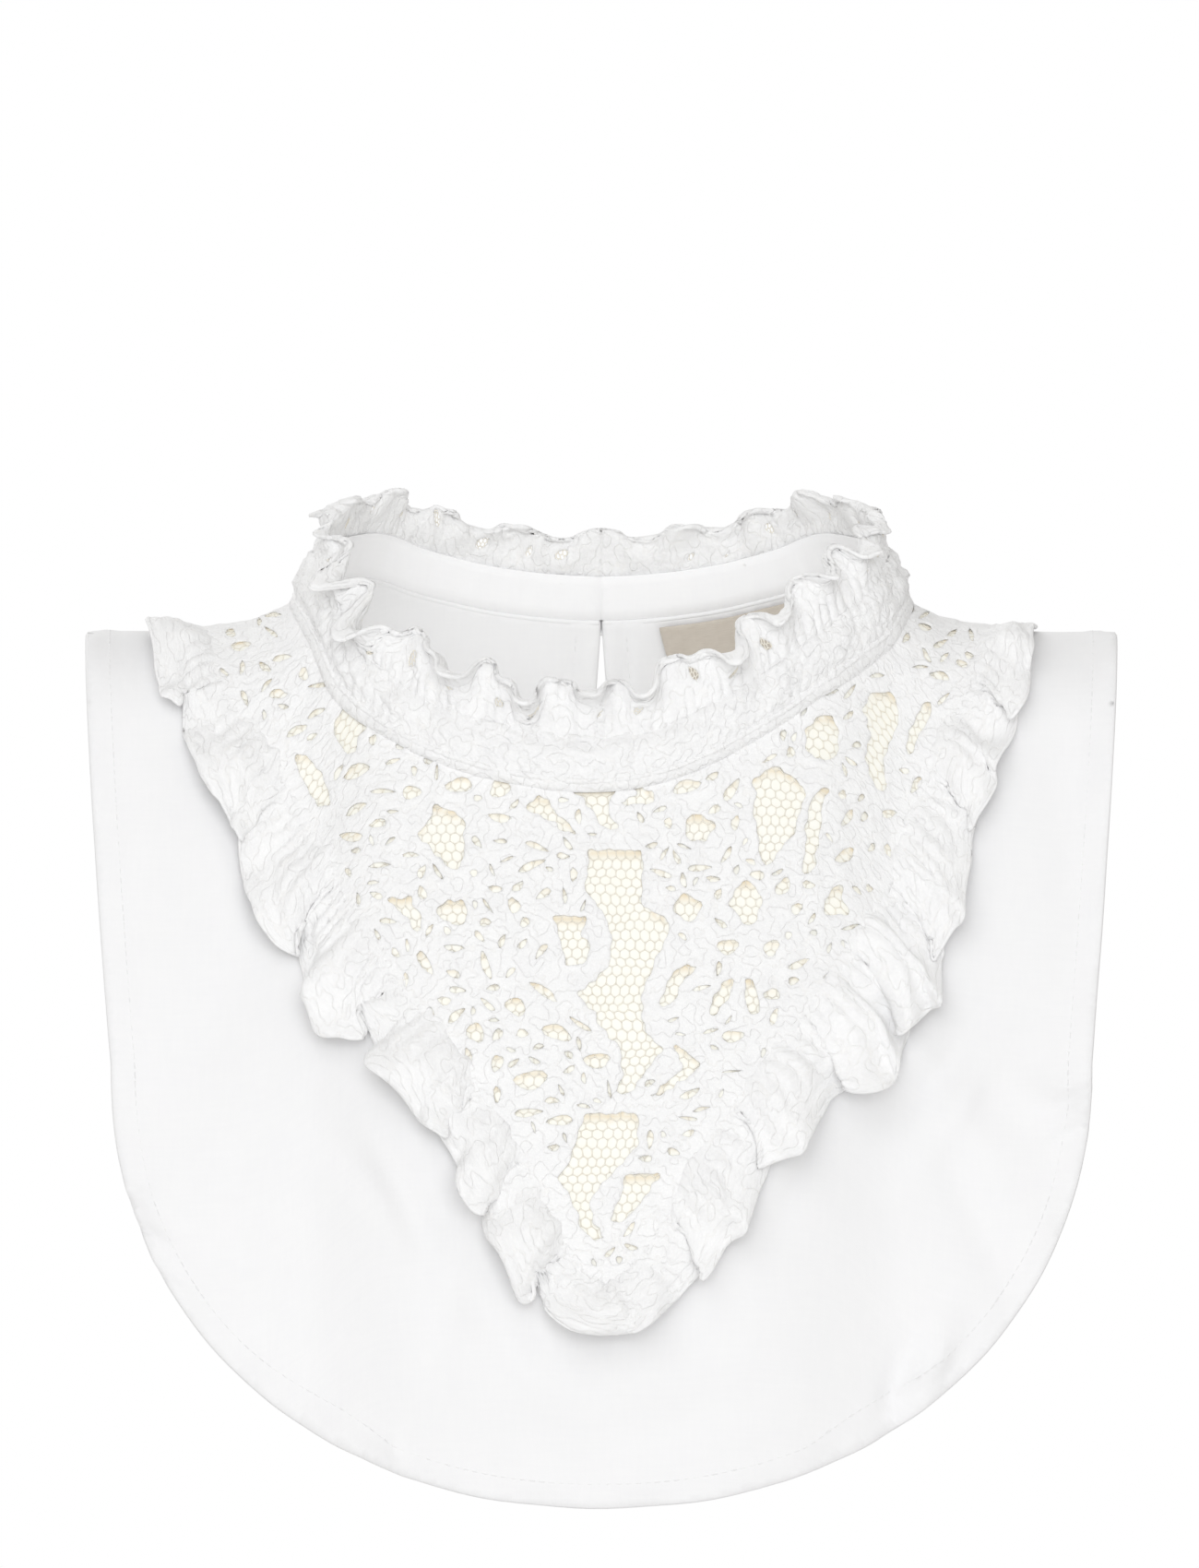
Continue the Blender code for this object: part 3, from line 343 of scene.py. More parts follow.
def vertexNormals(middle, faces):
    corner = middle[faces]
    ways = np.cross(corner[:, 1] - corner[:, 0], corner[:, 2] - corner[:, 0])
    normal = np.zeros_like(middle)
    for k in range(3):
        np.add.at(normal, faces[:, k], ways)
    return unit(normal)


def makeShell(name, flat, faces, middle, thickness, finish, flip=True, paintedShades=None):
    # Two skins round a middle surface, joined by a rounded rim
    faces = faces[:, ::-1] if flip else faces
    normal = vertexNormals(middle, faces)
    half = (np.zeros(len(middle)) + thickness) / 2
    edges = np.concatenate([faces[:, [0, 1]], faces[:, [1, 2]], faces[:, [2, 0]]])
    ordered = np.sort(edges, axis=1).astype(np.int64)
    codes = ordered[:, 0] * len(middle) + ordered[:, 1]
    _, first, counts = np.unique(codes, return_index=True, return_counts=True)
    border = edges[first[counts == 1]]
    rimOf, position = np.unique(border, return_inverse=True)
    position = position.reshape(-1, 2)
    outward = np.zeros((len(rimOf), 3))
    edgeOut = np.cross(middle[border[:, 1]] - middle[border[:, 0]], normal[border[:, 0]])
    for k in range(2):
        np.add.at(outward, position[:, k], edgeOut)
    rim = middle[rimOf] + unit(outward) * (half[rimOf] * rimShare)[:, None]
    count = len(middle)
    vertices = np.concatenate([middle + normal * half[:, None], middle - normal * half[:, None], rim])
    made = faces.tolist() + (faces[:, ::-1] + count).tolist()
    a, b = border[:, 0], border[:, 1]
    ra, rb = position[:, 0] + 2 * count, position[:, 1] + 2 * count
    made += np.stack([b, a, ra, rb], axis=1).tolist()
    made += np.stack([rb, ra, a + count, b + count], axis=1).tolist()
    places = np.concatenate([flat, flat, flat[rimOf]])
    # The painted shade goes on both skins and the rim
    if paintedShades is not None:
        paintedShades = np.concatenate([paintedShades, paintedShades, paintedShades[rimOf]])
    return addMesh(name, vertices, made, finish, places, paintedShades)


def tubesAlong(lines, ups, radii, sides):
    # Closed tubes along lines of the same number of points, shape (tubes, points, 3);
    # ups are upright directions at the points
    way = unit(np.gradient(lines, axis=1))
    across = unit(np.cross(way, ups))
    upward = np.cross(across, way)
    turns = np.linspace(0, 2 * math.pi, sides, endpoint=False)
    size = np.asarray(radii)[None, :, None]
    rings = [lines + size * (math.cos(t) * across + math.sin(t) * upward) for t in turns]
    vertices = np.stack(rings, axis=2).reshape(-1, 3)
    tubes, points = lines.shape[:2]
    faces, j = [], np.arange(sides)
    after = (j + 1) % sides
    for i in range(points - 1):
        base = i * sides
        faces.append(np.stack([base + j, base + after, base + sides + after, base + sides + j], axis=1))
    one = np.concatenate(faces)
    starts = np.arange(tubes) * points * sides
    quads = (one[None] + starts[:, None, None]).reshape(-1, 4).tolist()
    last = (points - 1) * sides
    caps = (j[::-1][None] + starts[:, None]).tolist() + (last + j[None] + starts[:, None]).tolist()
    return vertices, quads + caps


def addTubes(name, lines, ups, radii, sides, finish):
    vertices, faces = tubesAlong(lines, ups, radii, sides)
    made = addMesh(name, vertices, faces, finish, vertices[:, [0, 2]])
    return made


def addCord(name, line, ups, radii, finish):
    return addTubes(name, line[None], ups[None], radii, 10, finish)


# Finishes

def newFinish(name):
    finish = bpy.data.materials.new(name)
    finish.use_nodes = True
    return finish, finish.node_tree, finish.node_tree.nodes["Principled BSDF"]


def addNode(tree, kind, inputs=None, **settings):
    node = tree.nodes.new(kind)
    for key, value in settings.items():
        setattr(node, key, value)
    for key, value in (inputs or {}).items():
        if isinstance(value, bpy.types.NodeSocket):
            tree.links.new(value, node.inputs[key])
        else:
            node.inputs[key].default_value = value
    return node


def colorRamp(tree, factor, stops):
    node = addNode(tree, "ShaderNodeValToRGB", {"Fac": factor})
    ramp = node.color_ramp
    while len(ramp.elements) < len(stops):
        ramp.elements.new(0.5)
    for element, (place, color) in zip(ramp.elements, stops):
        element.position = place
        element.color = (*color, 1)
    return node.outputs["Color"]


def clothPlace(tree):
    return addNode(tree, "ShaderNodeUVMap", uv_map="cloth").outputs["UV"]


def stretched(tree, place, x, y):
    return addNode(tree, "ShaderNodeMapping", {"Vector": place, "Scale": (x, y, 1)}).outputs["Vector"]


def noiseOf(tree, place, scale, detail=3.0, roughness=0.55):
    node = addNode(tree, "ShaderNodeTexNoise", {
        "Vector": place, "Scale": scale, "Detail": detail, "Roughness": roughness,
    })
    return node.outputs["Fac"]


def mathOf(tree, operation, a, b):
    return addNode(tree, "ShaderNodeMath", {0: a, 1: b}, operation=operation).outputs[0]


def weighed(tree, a, shareOfA, b, shareOfB):
    # Sum of two patterns, each by its share
    return mathOf(tree, "ADD", mathOf(tree, "MULTIPLY", a, shareOfA), mathOf(tree, "MULTIPLY", b, shareOfB))


def mixed(tree, amount, color, other):
    node = addNode(tree, "ShaderNodeMix", {0: amount, 6: color, 7: (*other, 1)}, data_type="RGBA")
    return node.outputs[2]


def setRelief(tree, shader, height, strength, distance):
    node = addNode(tree, "ShaderNodeBump", {"Height": height, "Strength": strength, "Distance": distance})
    tree.links.new(node.outputs["Normal"], shader.inputs["Normal"])


def setRoughness(tree, shader, value, least, most):
    node = addNode(tree, "ShaderNodeMapRange", {"Value": value, "To Min": least, "To Max": most})
    tree.links.new(node.outputs["Result"], shader.inputs["Roughness"])


def setSockets(shader, values):
    for name, value in values.items():
        shader.inputs[name].default_value = value


weave = dict(
    slubAlong=0.35, slubAcross=3, threadScale=0.9, slubShare=0.30, mottleShare=0.40,
    darkAt=0.36, lightAt=0.62, threadRelief=0.14, depth=0.0002, smoothest=0.72, roughest=0.9,
    gloss={"Sheen Weight": 0.15, "Sheen Roughness": 0.5, "Specular IOR Level": 0.25},
)


def wovenFinish(name, light, dark, threads, grain, bump, paintedShadeColor=None):
    # Plain weave with slubs both ways, a little mottling and fine fibre
    finish, tree, shader = newFinish(name)
    place = clothPlace(tree)
    along, across = threads * weave["slubAlong"], threads * weave["slubAcross"]
    warp = noiseOf(tree, stretched(tree, place, along, across), 1.0, 2.0)
    weft = noiseOf(tree, stretched(tree, place, across, along), 1.0, 2.0)
    bands = [
        addNode(
            tree, "ShaderNodeTexWave", {"Vector": place, "Scale": threads * weave["threadScale"]},
            bands_direction=way,
        ).outputs["Fac"]
        for way in ("X", "Y")
    ]
    crossings = mathOf(tree, "MULTIPLY", *bands)
    slubs = mathOf(tree, "ADD", warp, weft)
    mottle = noiseOf(tree, place, grain, 5.0, 0.6)
    tone = weighed(tree, slubs, weave["slubShare"], mottle, weave["mottleShare"])
    color = colorRamp(tree, tone, [(weave["darkAt"], dark), (weave["lightAt"], light)])
    # Painted shade: the paintedShadeColor is mixed in by the paintedShade attribute, standing for the lace's
    # shadow on the lining
    if paintedShadeColor is not None:
        amount = addNode(tree, "ShaderNodeAttribute", attribute_name="paintedShade").outputs["Fac"]
        paintedShadeMix = mathOf(tree, "MULTIPLY", amount, mathOf(tree, "ADD", mottle, 0.5))
        color = mixed(tree, paintedShadeMix, color, paintedShadeColor)
    tree.links.new(color, shader.inputs["Base Color"])
    relief = mathOf(tree, "ADD", mathOf(tree, "MULTIPLY", crossings, weave["threadRelief"]), slubs)
    setRelief(tree, shader, relief, bump, weave["depth"])
    setRoughness(tree, shader, slubs, weave["smoothest"], weave["roughest"])
    setSockets(shader, weave["gloss"])
    return finish


felt = dict(
    fibre=(90, 130), pits=110.0, clouds=14.0, fibreShare=0.55, cloudShare=0.45, darkAt=0.34,
    lightAt=0.58, pitRelief=0.6, curves=27.0, curveWide=0.030, curveShadeShare=0.22, curveDip=0.5,
    depth=0.0004, smoothest=0.8, roughest=0.97,
    gloss={"Sheen Weight": 0.2, "Sheen Roughness": 0.6, "Specular IOR Level": 0.2},
)


def feltedFinish(name, light, dark, bump, paintedGrooveShade=None):
    # Cotton clothwork of the lace: close felted threads with tiny pits
    finish, tree, shader = newFinish(name)
    place = clothPlace(tree)
    fibre = noiseOf(tree, stretched(tree, place, *felt["fibre"]), 1.0, 6.0, 0.7)
    pits = addNode(tree, "ShaderNodeTexVoronoi", {"Vector": place, "Scale": felt["pits"]}).outputs["Distance"]
    clouds = noiseOf(tree, place, felt["clouds"], 4.0, 0.6)
    tone = weighed(tree, fibre, felt["fibreShare"], clouds, felt["cloudShare"])
    color = colorRamp(tree, tone, [(felt["darkAt"], dark), (felt["lightAt"], light)])
    relief = mathOf(tree, "ADD", fibre, mathOf(tree, "MULTIPLY", pits, felt["pitRelief"]))
    if paintedGrooveShade is not None:
        # Grooves worked in curves round the motifs; the dip in the relief is real, their darker tan colour is
        # painted shade
        curves = mathOf(tree, "SUBTRACT", noiseOf(tree, place, felt["curves"], 0.8), 0.5)
        off = addNode(tree, "ShaderNodeMath", {0: curves}, operation="ABSOLUTE").outputs[0]
        dip = addNode(tree, "ShaderNodeMapRange", {
            "Value": off, "From Min": 0.0, "From Max": felt["curveWide"], "To Min": 1.0, "To Max": 0.0,
        }).outputs["Result"]
        amount = mathOf(tree, "MULTIPLY", dip, mathOf(tree, "MULTIPLY", clouds, felt["curveShadeShare"]))
        color = mixed(tree, amount, color, paintedGrooveShade)
        relief = mathOf(tree, "SUBTRACT", relief, mathOf(tree, "MULTIPLY", dip, felt["curveDip"]))
    tree.links.new(color, shader.inputs["Base Color"])
    setRelief(tree, shader, relief, bump, felt["depth"])
    setRoughness(tree, shader, fibre, felt["smoothest"], felt["roughest"])
    setSockets(shader, felt["gloss"])
    return finish


poplinFinish = wovenFinish(
    "whitePoplin", (0.88, 0.88, 0.885), (0.862, 0.862, 0.87), threads=30, grain=7.0, bump=0.16,
)
# Painted light: the facing is the same poplin coloured lighter, so the shaded inside of the collar looks lit
facingPaintedLightFinish = wovenFinish(
    "facingPoplinPaintedLight", (0.95, 0.95, 0.955), (0.93, 0.93, 0.94), threads=30, grain=7.0, bump=0.16,
)
# The lining's tan second colour is painted shade under the lace's windows
liningFinish = wovenFinish(
    "creamVoileWithPaintedShade", (0.97, 0.965, 0.915), (0.955, 0.945, 0.87), threads=24, grain=5.0, bump=0.3,
    paintedShadeColor=(0.80, 0.68, 0.48),
)
# The tan colour in the lace's grooves is painted shade
laceFinish = feltedFinish(
    "cottonLace", (0.95, 0.95, 0.95), (0.885, 0.885, 0.89), bump=0.7, paintedGrooveShade=(0.84, 0.80, 0.73),
)
# Painted shade: the net's cords are tan, standing for their own shading and the shadows they cast on the
# lining
netPaintedShadeFinish = feltedFinish("cottonNetPaintedShade", (0.93, 0.90, 0.82), (0.85, 0.80, 0.68), bump=0.3)
threadFinish = feltedFinish("sewingThread", (0.90, 0.90, 0.90), (0.80, 0.80, 0.81), bump=0.3)
print("finishes ready")


# Bib: outlines of the poplin pieces

# Neckline: x and depth in millimetres, from the middle of the back by the wearer's right
neckKnots = (
    (0, -43.0), (-20, -41.7), (-38, -38.4), (-54, -32.4), (-65, -21.3), (-72, -9.6),
    (-76.0, 0), (-77.0, 9), (-75.4, 20), (-71.5, 35), (-65.5, 54.2), (-54.2, 70.0),
    (-35.3, 80.3), (-14.2, 85.1), (0, 85.8), (12, 84.2), (25.4, 79.6), (41.5, 70.3),
    (52, 62.4), (60.7, 53.0), (71.4, 35), (75.6, 20), (77.0, 9), (76.0, 0),
    (72, -9.6), (65, -21.3), (54, -32.4), (38, -38.4), (20, -41.7),
)

bib = dict(
    halfWidth=0.1345, cornerHeight=-0.0096, arcHeight=-0.122, arcHalfWidth=0.127, arcPower=2.12,
    sideBend=1.3, frontHem=-0.2362, backHem=-0.214, slitLength=0.098, slitTopHalf=0.0006,
    slitHalf=0.0031, slitBend=1.1, seamGap=0.0003, hemStep=0.0016, seamStep=0.0015, cutStep=0.002,
    cornerClear=0.0002,
)
shoulderPart = dict(outside=0.07, low=-0.02, high=0.006)  # stretch of the neckline at the shoulder

# Seam of the yoke: height, then how far out it is on the left and on the right
yokeSeamRows = (
    (-0.024, 0.1000, 0.0965), (-0.038, 0.0890, 0.0890), (-0.055, 0.0795, 0.0830),
    (-0.073, 0.0705, 0.0765), (-0.096, 0.0570, 0.0640), (-0.116, 0.0410, 0.0480),
    (-0.139, 0.0260, 0.0300), (-0.161, 0.0145, 0.0175), (-0.177, 0.0050, 0.0075),
)
yoke = dict(shoulder=(0.107, 0.104), tip=(0.0012, -0.1825), liningLift=0.0011, laceLift=0.0013)


def neckline():
    return smoothRing(np.array(neckKnots) / 1000, 40)


def shoulderCrossing(sign, near):
    line = neckline()
    above, below = line[:, 1] < shoulderPart["high"], line[:, 1] > shoulderPart["low"]
    part = line[(sign * line[:, 0] > shoulderPart["outside"]) & above & below]
    part = part[np.argsort(part[:, 1])]
    return np.interp(near, part[:, 1], part[:, 0])


def neckHalf(front):
    line = neckline()
    near = figure["shoulderSeam"] + (1 if front else -1) * bib["seamGap"] / 2
    if front:
        line = line[line[:, 1] > near]
    else:
        line = line[line[:, 1] < near]
        line = line[np.argsort(line[:, 0])]
    ends = [[shoulderCrossing(sign, near), near] for sign in (-1, 1)]
    return np.concatenate([ends[:1], line, ends[1:]])


def bibEdge(hem, side):
    straight = np.linspace(bib["cornerHeight"], bib["arcHeight"], 40)
    share = (bib["cornerHeight"] - straight) / (bib["cornerHeight"] - bib["arcHeight"])
    sideX = bib["halfWidth"] + (bib["arcHalfWidth"] - bib["halfWidth"]) * share ** bib["sideBend"]
    turn = np.linspace(0, math.pi / 2, 120)[1:]
    power = 2 / bib["arcPower"]
    arcX = bib["arcHalfWidth"] * np.cos(turn) ** power
    arcZ = bib["arcHeight"] + (hem - bib["arcHeight"]) * np.sin(turn) ** power
    x = np.concatenate([sideX, np.maximum(arcX, 0)])
    return np.stack([x, depthAt(x, np.concatenate([straight, arcZ]), side)], axis=1)


def yokeSeamLine(column):
    sign = -1 if column == 1 else 1
    knots = [(sign * yoke["shoulder"][column - 1], figure["shoulderSeam"])]
    knots += [(sign * row[column], frontDepth(row[column], row[0])) for row in yokeSeamRows]
    knots.append((yoke["tip"][0], frontDepth(*yoke["tip"])))
    return smoothLine(np.array(knots), 12)


def yokeSeam(offset):
    whole = np.concatenate([yokeSeamLine(1), yokeSeamLine(2)[::-1][1:]])
    seam = movedAside(softened(spaced(whole, bib["seamStep"]), 3), offset)
    seam[0, 1] = seam[-1, 1] = figure["shoulderSeam"] + bib["seamGap"] / 2
    return seam


def frontEdge():
    edge = bibEdge(bib["frontHem"], chest)
    edge = np.concatenate([[[edge[0, 0], figure["shoulderSeam"] + bib["seamGap"] / 2]], edge])
    return spaced(np.concatenate([mirrored(edge), edge[::-1][1:]]), bib["hemStep"])


def slitSide():
    down = np.linspace(0, 1, 60)
    wider = (bib["slitHalf"] - bib["slitTopHalf"]) * np.sin(math.pi * down) ** bib["slitBend"]
    half = bib["slitTopHalf"] + wider
    half[-1] = bib["seamGap"] / 2
    top = -neckKnots[0][1] / 1000
    return np.stack([half, -(top + bib["slitLength"] * down)], axis=1)


def backEdge():
    edge = bibEdge(bib["backHem"], upperBack) * np.array([1, -1])
    near = figure["shoulderSeam"] - bib["seamGap"] / 2
    edge = np.concatenate([[[edge[0, 0], near]], edge[edge[:, 1] < near - bib["cornerClear"]]])
    edge[:, 0] = np.maximum(edge[:, 0], bib["seamGap"] / 2)
    return spaced(edge, bib["hemStep"])


# Small puckers of the poplin alone, in the same columns
puckers = (
    (chest, (
        (80, -205, 8, 1.5, 2, -30), (83.5, -202.5, 8.5, 1.4, -1.8, -26),
        (87, -198.5, 7, 1.5, 1.8, -32), (76.5, -208, 6, 1.4, -1.6, -36),
        (-119.5, -156, 5.5, 1.5, 1.4, 62), (-116.5, -166, 6, 1.6, -1.3, 56),
        (-113.5, -174, 5.5, 1.5, 1.4, 52), (122.5, -131, 6, 1.5, 1.5, -66),
        (121.5, -140, 6, 1.5, -1.4, -60), (-53, -222, 5, 1.8, 0.9, 14), (74, -123, 17, 2.8, 1.7, -38),
        (83, -129, 21, 3.2, -1.8, -34), (93, -133, 22, 3.6, 1.6, -30), (52, -148, 18, 3.6, -1.4, -22),
        (-52, -156, 23, 4.2, 1.4, 24), (-62, -150, 20, 4, -1.4, 30), (-98, -74, 26, 4.6, 1.4, 18),
        (-25, -192, 22, 5, 1.3, 36), (105, -70, 23, 4, 0.8, -12),
    )),
    (upperBack, (
        (6, -20, 10, 1.3, 1, 2), (9.5, -21, 11, 1.4, -0.9, -2), (-8, -20, 10, 1.6, 0.8, 3),
        (16, -30, 16, 2, 0.7, -6), (-30, -50, 22, 3.6, 0.9, 20), (52, -70, 26, 4.4, -1, -14),
        (-90, -130, 24, 4, 0.9, -34), (90, -150, 20, 4, 0.9, 36),
    )),
)
poplinCreases = (*mainCreases, *puckers)
poplin = dict(
    step=0.0017, quickStep=0.003, lift=0.0005, wall=0.0006, hemWidth=0.0065, hemWall=0.0007,
    hemFade=0.0008, hemReach=0.03, stitchInset=0.0058, stitchDip=0.00035, stitchWide=0.0007,
    ripple=0.00016, rippleAt=0.003, rippleWide=0.004, seamPull=0.00025, seamPullWide=0.006,
    seamReach=0.02, edgeWave=0.0007, edgeWaveWide=0.004, rippleTurns=(1500, 1700),
    pullTurns=(900, 130), edgeTurns=(210, 160),
)


def poplinShell(name, outline, hemLines, seamLines):
    flat, faces = cutSheet(outline, [], meshStep(poplin["step"]))
    x, depth = flat[:, 0], flat[:, 1]
    hem = nearestOf(flat, hemLines, poplin["hemReach"], closed=False)
    seam = nearestOf(flat, seamLines, poplin["seamReach"], closed=False)
    turned = 1 - eased((hem - poplin["hemWidth"]) / poplin["hemFade"])
    valley = bell((hem - poplin["stitchInset"]) / poplin["stitchWide"])
    rippled = bell((hem - poplin["rippleAt"]) / poplin["rippleWide"])
    across, along = poplin["rippleTurns"]
    ripple = np.sin(x * across) * np.cos(depth * along) * rippled
    across, along = poplin["pullTurns"]
    pull = bell(seam / poplin["seamPullWide"]) * np.sin(x * across + 4 * np.sin(depth * along))
    across, along = poplin["edgeTurns"]
    edgeWave = bell(hem / poplin["edgeWaveWide"]) * np.sin(x * across + 2) * np.cos(depth * along)
    lift = poplin["lift"] + ripple * poplin["ripple"]
    lift = lift + pull * poplin["seamPull"] + edgeWave * poplin["edgeWave"]
    thickness = poplin["wall"] + turned * poplin["hemWall"] - valley * poplin["stitchDip"]
    return makeShell(name, flat, faces, clothPoint(x, depth, lift, poplinCreases), thickness, poplinFinish)


frontHemLine, backHemLine = frontEdge(), backEdge()
frontCut = np.concatenate([frontHemLine, yokeSeam(-bib["seamGap"] / 2)[::-1]])
frontCut = filledLoop(frontCut, bib["cutStep"])
frontPanel = poplinShell("frontPanel", frontCut, [frontHemLine], [yokeSeam(0)])
standFor("front_bib")


def onSide(line, sign):
    # A line of the left half, or its mirror image
    return line if sign > 0 else mirrored(line)


def backCut(sign):
    neck = neckHalf(False)
    neck = spaced(neck[neck[:, 0] > 2 * bib["slitTopHalf"]], bib["seamStep"])
    half = np.concatenate([backHemLine, spaced(slitSide()[::-1], bib["seamStep"]), neck])
    return filledLoop(half if sign > 0 else mirrored(half)[::-1], bib["cutStep"])


for side, sign in (("Left", 1), ("Right", -1)):
    turns = [onSide(backHemLine, sign), onSide(slitSide(), sign)]
    panel = poplinShell("backPanel" + side, backCut(sign), turns, [])
    standFor("back_bib_" + side.lower())
print("poplin panels made")


# Yoke: a cream lining under a lace sheet with open windows and a net across them

# Windows seen from the front, in millimetres: height, then the two sides
windowRows = (
    ((-67, -3.2, 10.3), (-74, -3.5, 11.0), (-77, -4.7, 10.3), (-81, -0.7, 10.3),
     (-85.6, 1.7, 18), (-91, 2.8, 16), (-97, 2.4, 13.4), (-100.4, -1.7, 12), (-104, -6.3, 10.7),
     (-109, -1.7, 10.3), (-114.6, 1.4, 12), (-118, 5.1, 16), (-125, 5.7, 10.7), (-129.6, 3, 7.6)),
    ((-50.8, -7.6, 3.9), (-53.8, -4.7, 2), (-57, -2.3, 1.4), (-61.3, 0.5, 4.8)),
    ((-134.8, -4.3, 9.2), (-142.3, -6.8, 9.8), (-148.5, -8.6, 4.3), (-151.5, -11.5, 1.3),
     (-157, -7.4, -3.4), (-163.2, -5.5, -1.8), (-167.2, -3.1, 1.4)),
    ((-150.4, 5.5, 15.2), (-154, 6.2, 12.6), (-158.3, 3.7, 10.2), (-162.6, 2.2, 5.5)),
    ((-55.4, -42.9, -41.2), (-59.2, -44.1, -35), (-62.9, -47.8, -35.8), (-65.9, -44.7, -35),
     (-72, -38.6, -36.7)),
    ((-64.6, -53, -49.2), (-69, -49.3, -43.5), (-72.2, -48.4, -40.9), (-77.4, -48.4, -43.5)),
    ((-79.3, -55.4, -49), (-83.8, -50.3, -46.6), (-87.8, -48.1, -46.7)),
    ((-80.2, -40.4, -35.5), (-83.2, -42.9, -34.6), (-86.2, -38.6, -34.9)),
    ((-84, -12.7, -3.9), (-88.7, -10.9, -5.3), (-91.5, -10.3, -2.4), (-96.7, -9.3, -4.7)),
    ((-53.4, -17.6, -14), (-56.4, -19.5, -12.7), (-59.8, -12.1, -9.1), (-62.8, -9.4, -6.4)),
    ((-45.4, 43.8, 45.4), (-49.2, 39.1, 50.8), (-52, 40, 53), (-57.5, 39.4, 51.2),
     (-63, 40.6, 49.8), (-66.7, 40.9, 45.8), (-70.5, 40.9, 43.4)),
    ((-51.2, 56.3, 59), (-55, 53.6, 57), (-61.8, 52.9, 56), (-68, 52.3, 55), (-72.8, 51.4, 54.8)),
    ((-58, 23.1, 26.8), (-60.6, 21.2, 29.5), (-64.5, 22.5, 27.4)),
    ((-78.2, 21.4, 23), (-81.2, 18.4, 26), (-85, 20.6, 24.3)),
    ((-75.2, 36.4, 39), (-80.6, 32.8, 42), (-86.6, 37.5, 38.7)),
    ((-76.2, 60, 61.6), (-80.3, 56.9, 61.6), (-83.8, 57, 63)),
    ((-96.8, 20.5, 25), (-101.2, 17.2, 20.9), (-106.8, 14.8, 18)),
    ((-100.2, 32.1, 34.5), (-104.3, 29.2, 32.9), (-109.6, 27.6, 29.2)),
    ((-100.2, 36.9, 38.9), (-104.3, 36.9, 40.3), (-109, 37.6, 41)),
    ((-117.4, 18.5, 20), (-122.1, 21.2, 25.7), (-124.6, 19.8, 23), (-130.5, 12.3, 14.8)),
    ((-49.2, 6.9, 8.6), (-52.3, 9.4, 13.6), (-55, 4.6, 14)),
    ((-32, 55.7, 59.5), (-35.5, 53, 60.7), (-40.8, 52.8, 61.2), (-43.4, 55.4, 59.2)),
    ((-26, 69.8, 75.5), (-31, 67.5, 77), (-37.2, 69.4, 75.4), (-43.3, 67.9, 72.3),
     (-51.6, 71, 73.4)),
    ((-25.9, -66.8, -65.8), (-29.8, -66.3, -63.3), (-33.6, -69, -62.1), (-35.1, -69, -59.8),
     (-37.4, -68.6, -63.2), (-41.3, -66.3, -63.2)),
    ((-33.2, -54.4, -48.3), (-36, -53.8, -49.2), (-37.6, -53.4, -51.6), (-40.5, -55.2, -49.8),
     (-42.8, -57.5, -49.4), (-45.1, -54.4, -50.6), (-48.2, -52.2, -51)),
    ((-37.4, -44.4, -41.2), (-39.6, -44, -40.4), (-42.4, -41.8, -40.2), (-44.4, -43.7, -39.2),
     (-45.8, -43.0, -38.6)),
    ((-37.5, 31.5, 36.5), (-40.5, 32, 35.5), (-44, 33.8, 35)),
    ((-104.4, -54.2, -51.8), (-107, -54.6, -50.4), (-111, -51.6, -48.6), (-113.5, -49.8, -47.6)),
    ((-147, -15.8, -12.4), (-151, -15.6, -11.8), (-156, -13.6, -10.4), (-161, -11.6, -8.8)),
    ((-42, -79.4, -76.5), (-46, -78.6, -73), (-51, -76.0, -70.8), (-55, -73.5, -70)),
    ((-28, 84.5, 86), (-33, 81.5, 85), (-38, 79.5, 82), (-42.5, 79, 80.5)),
)

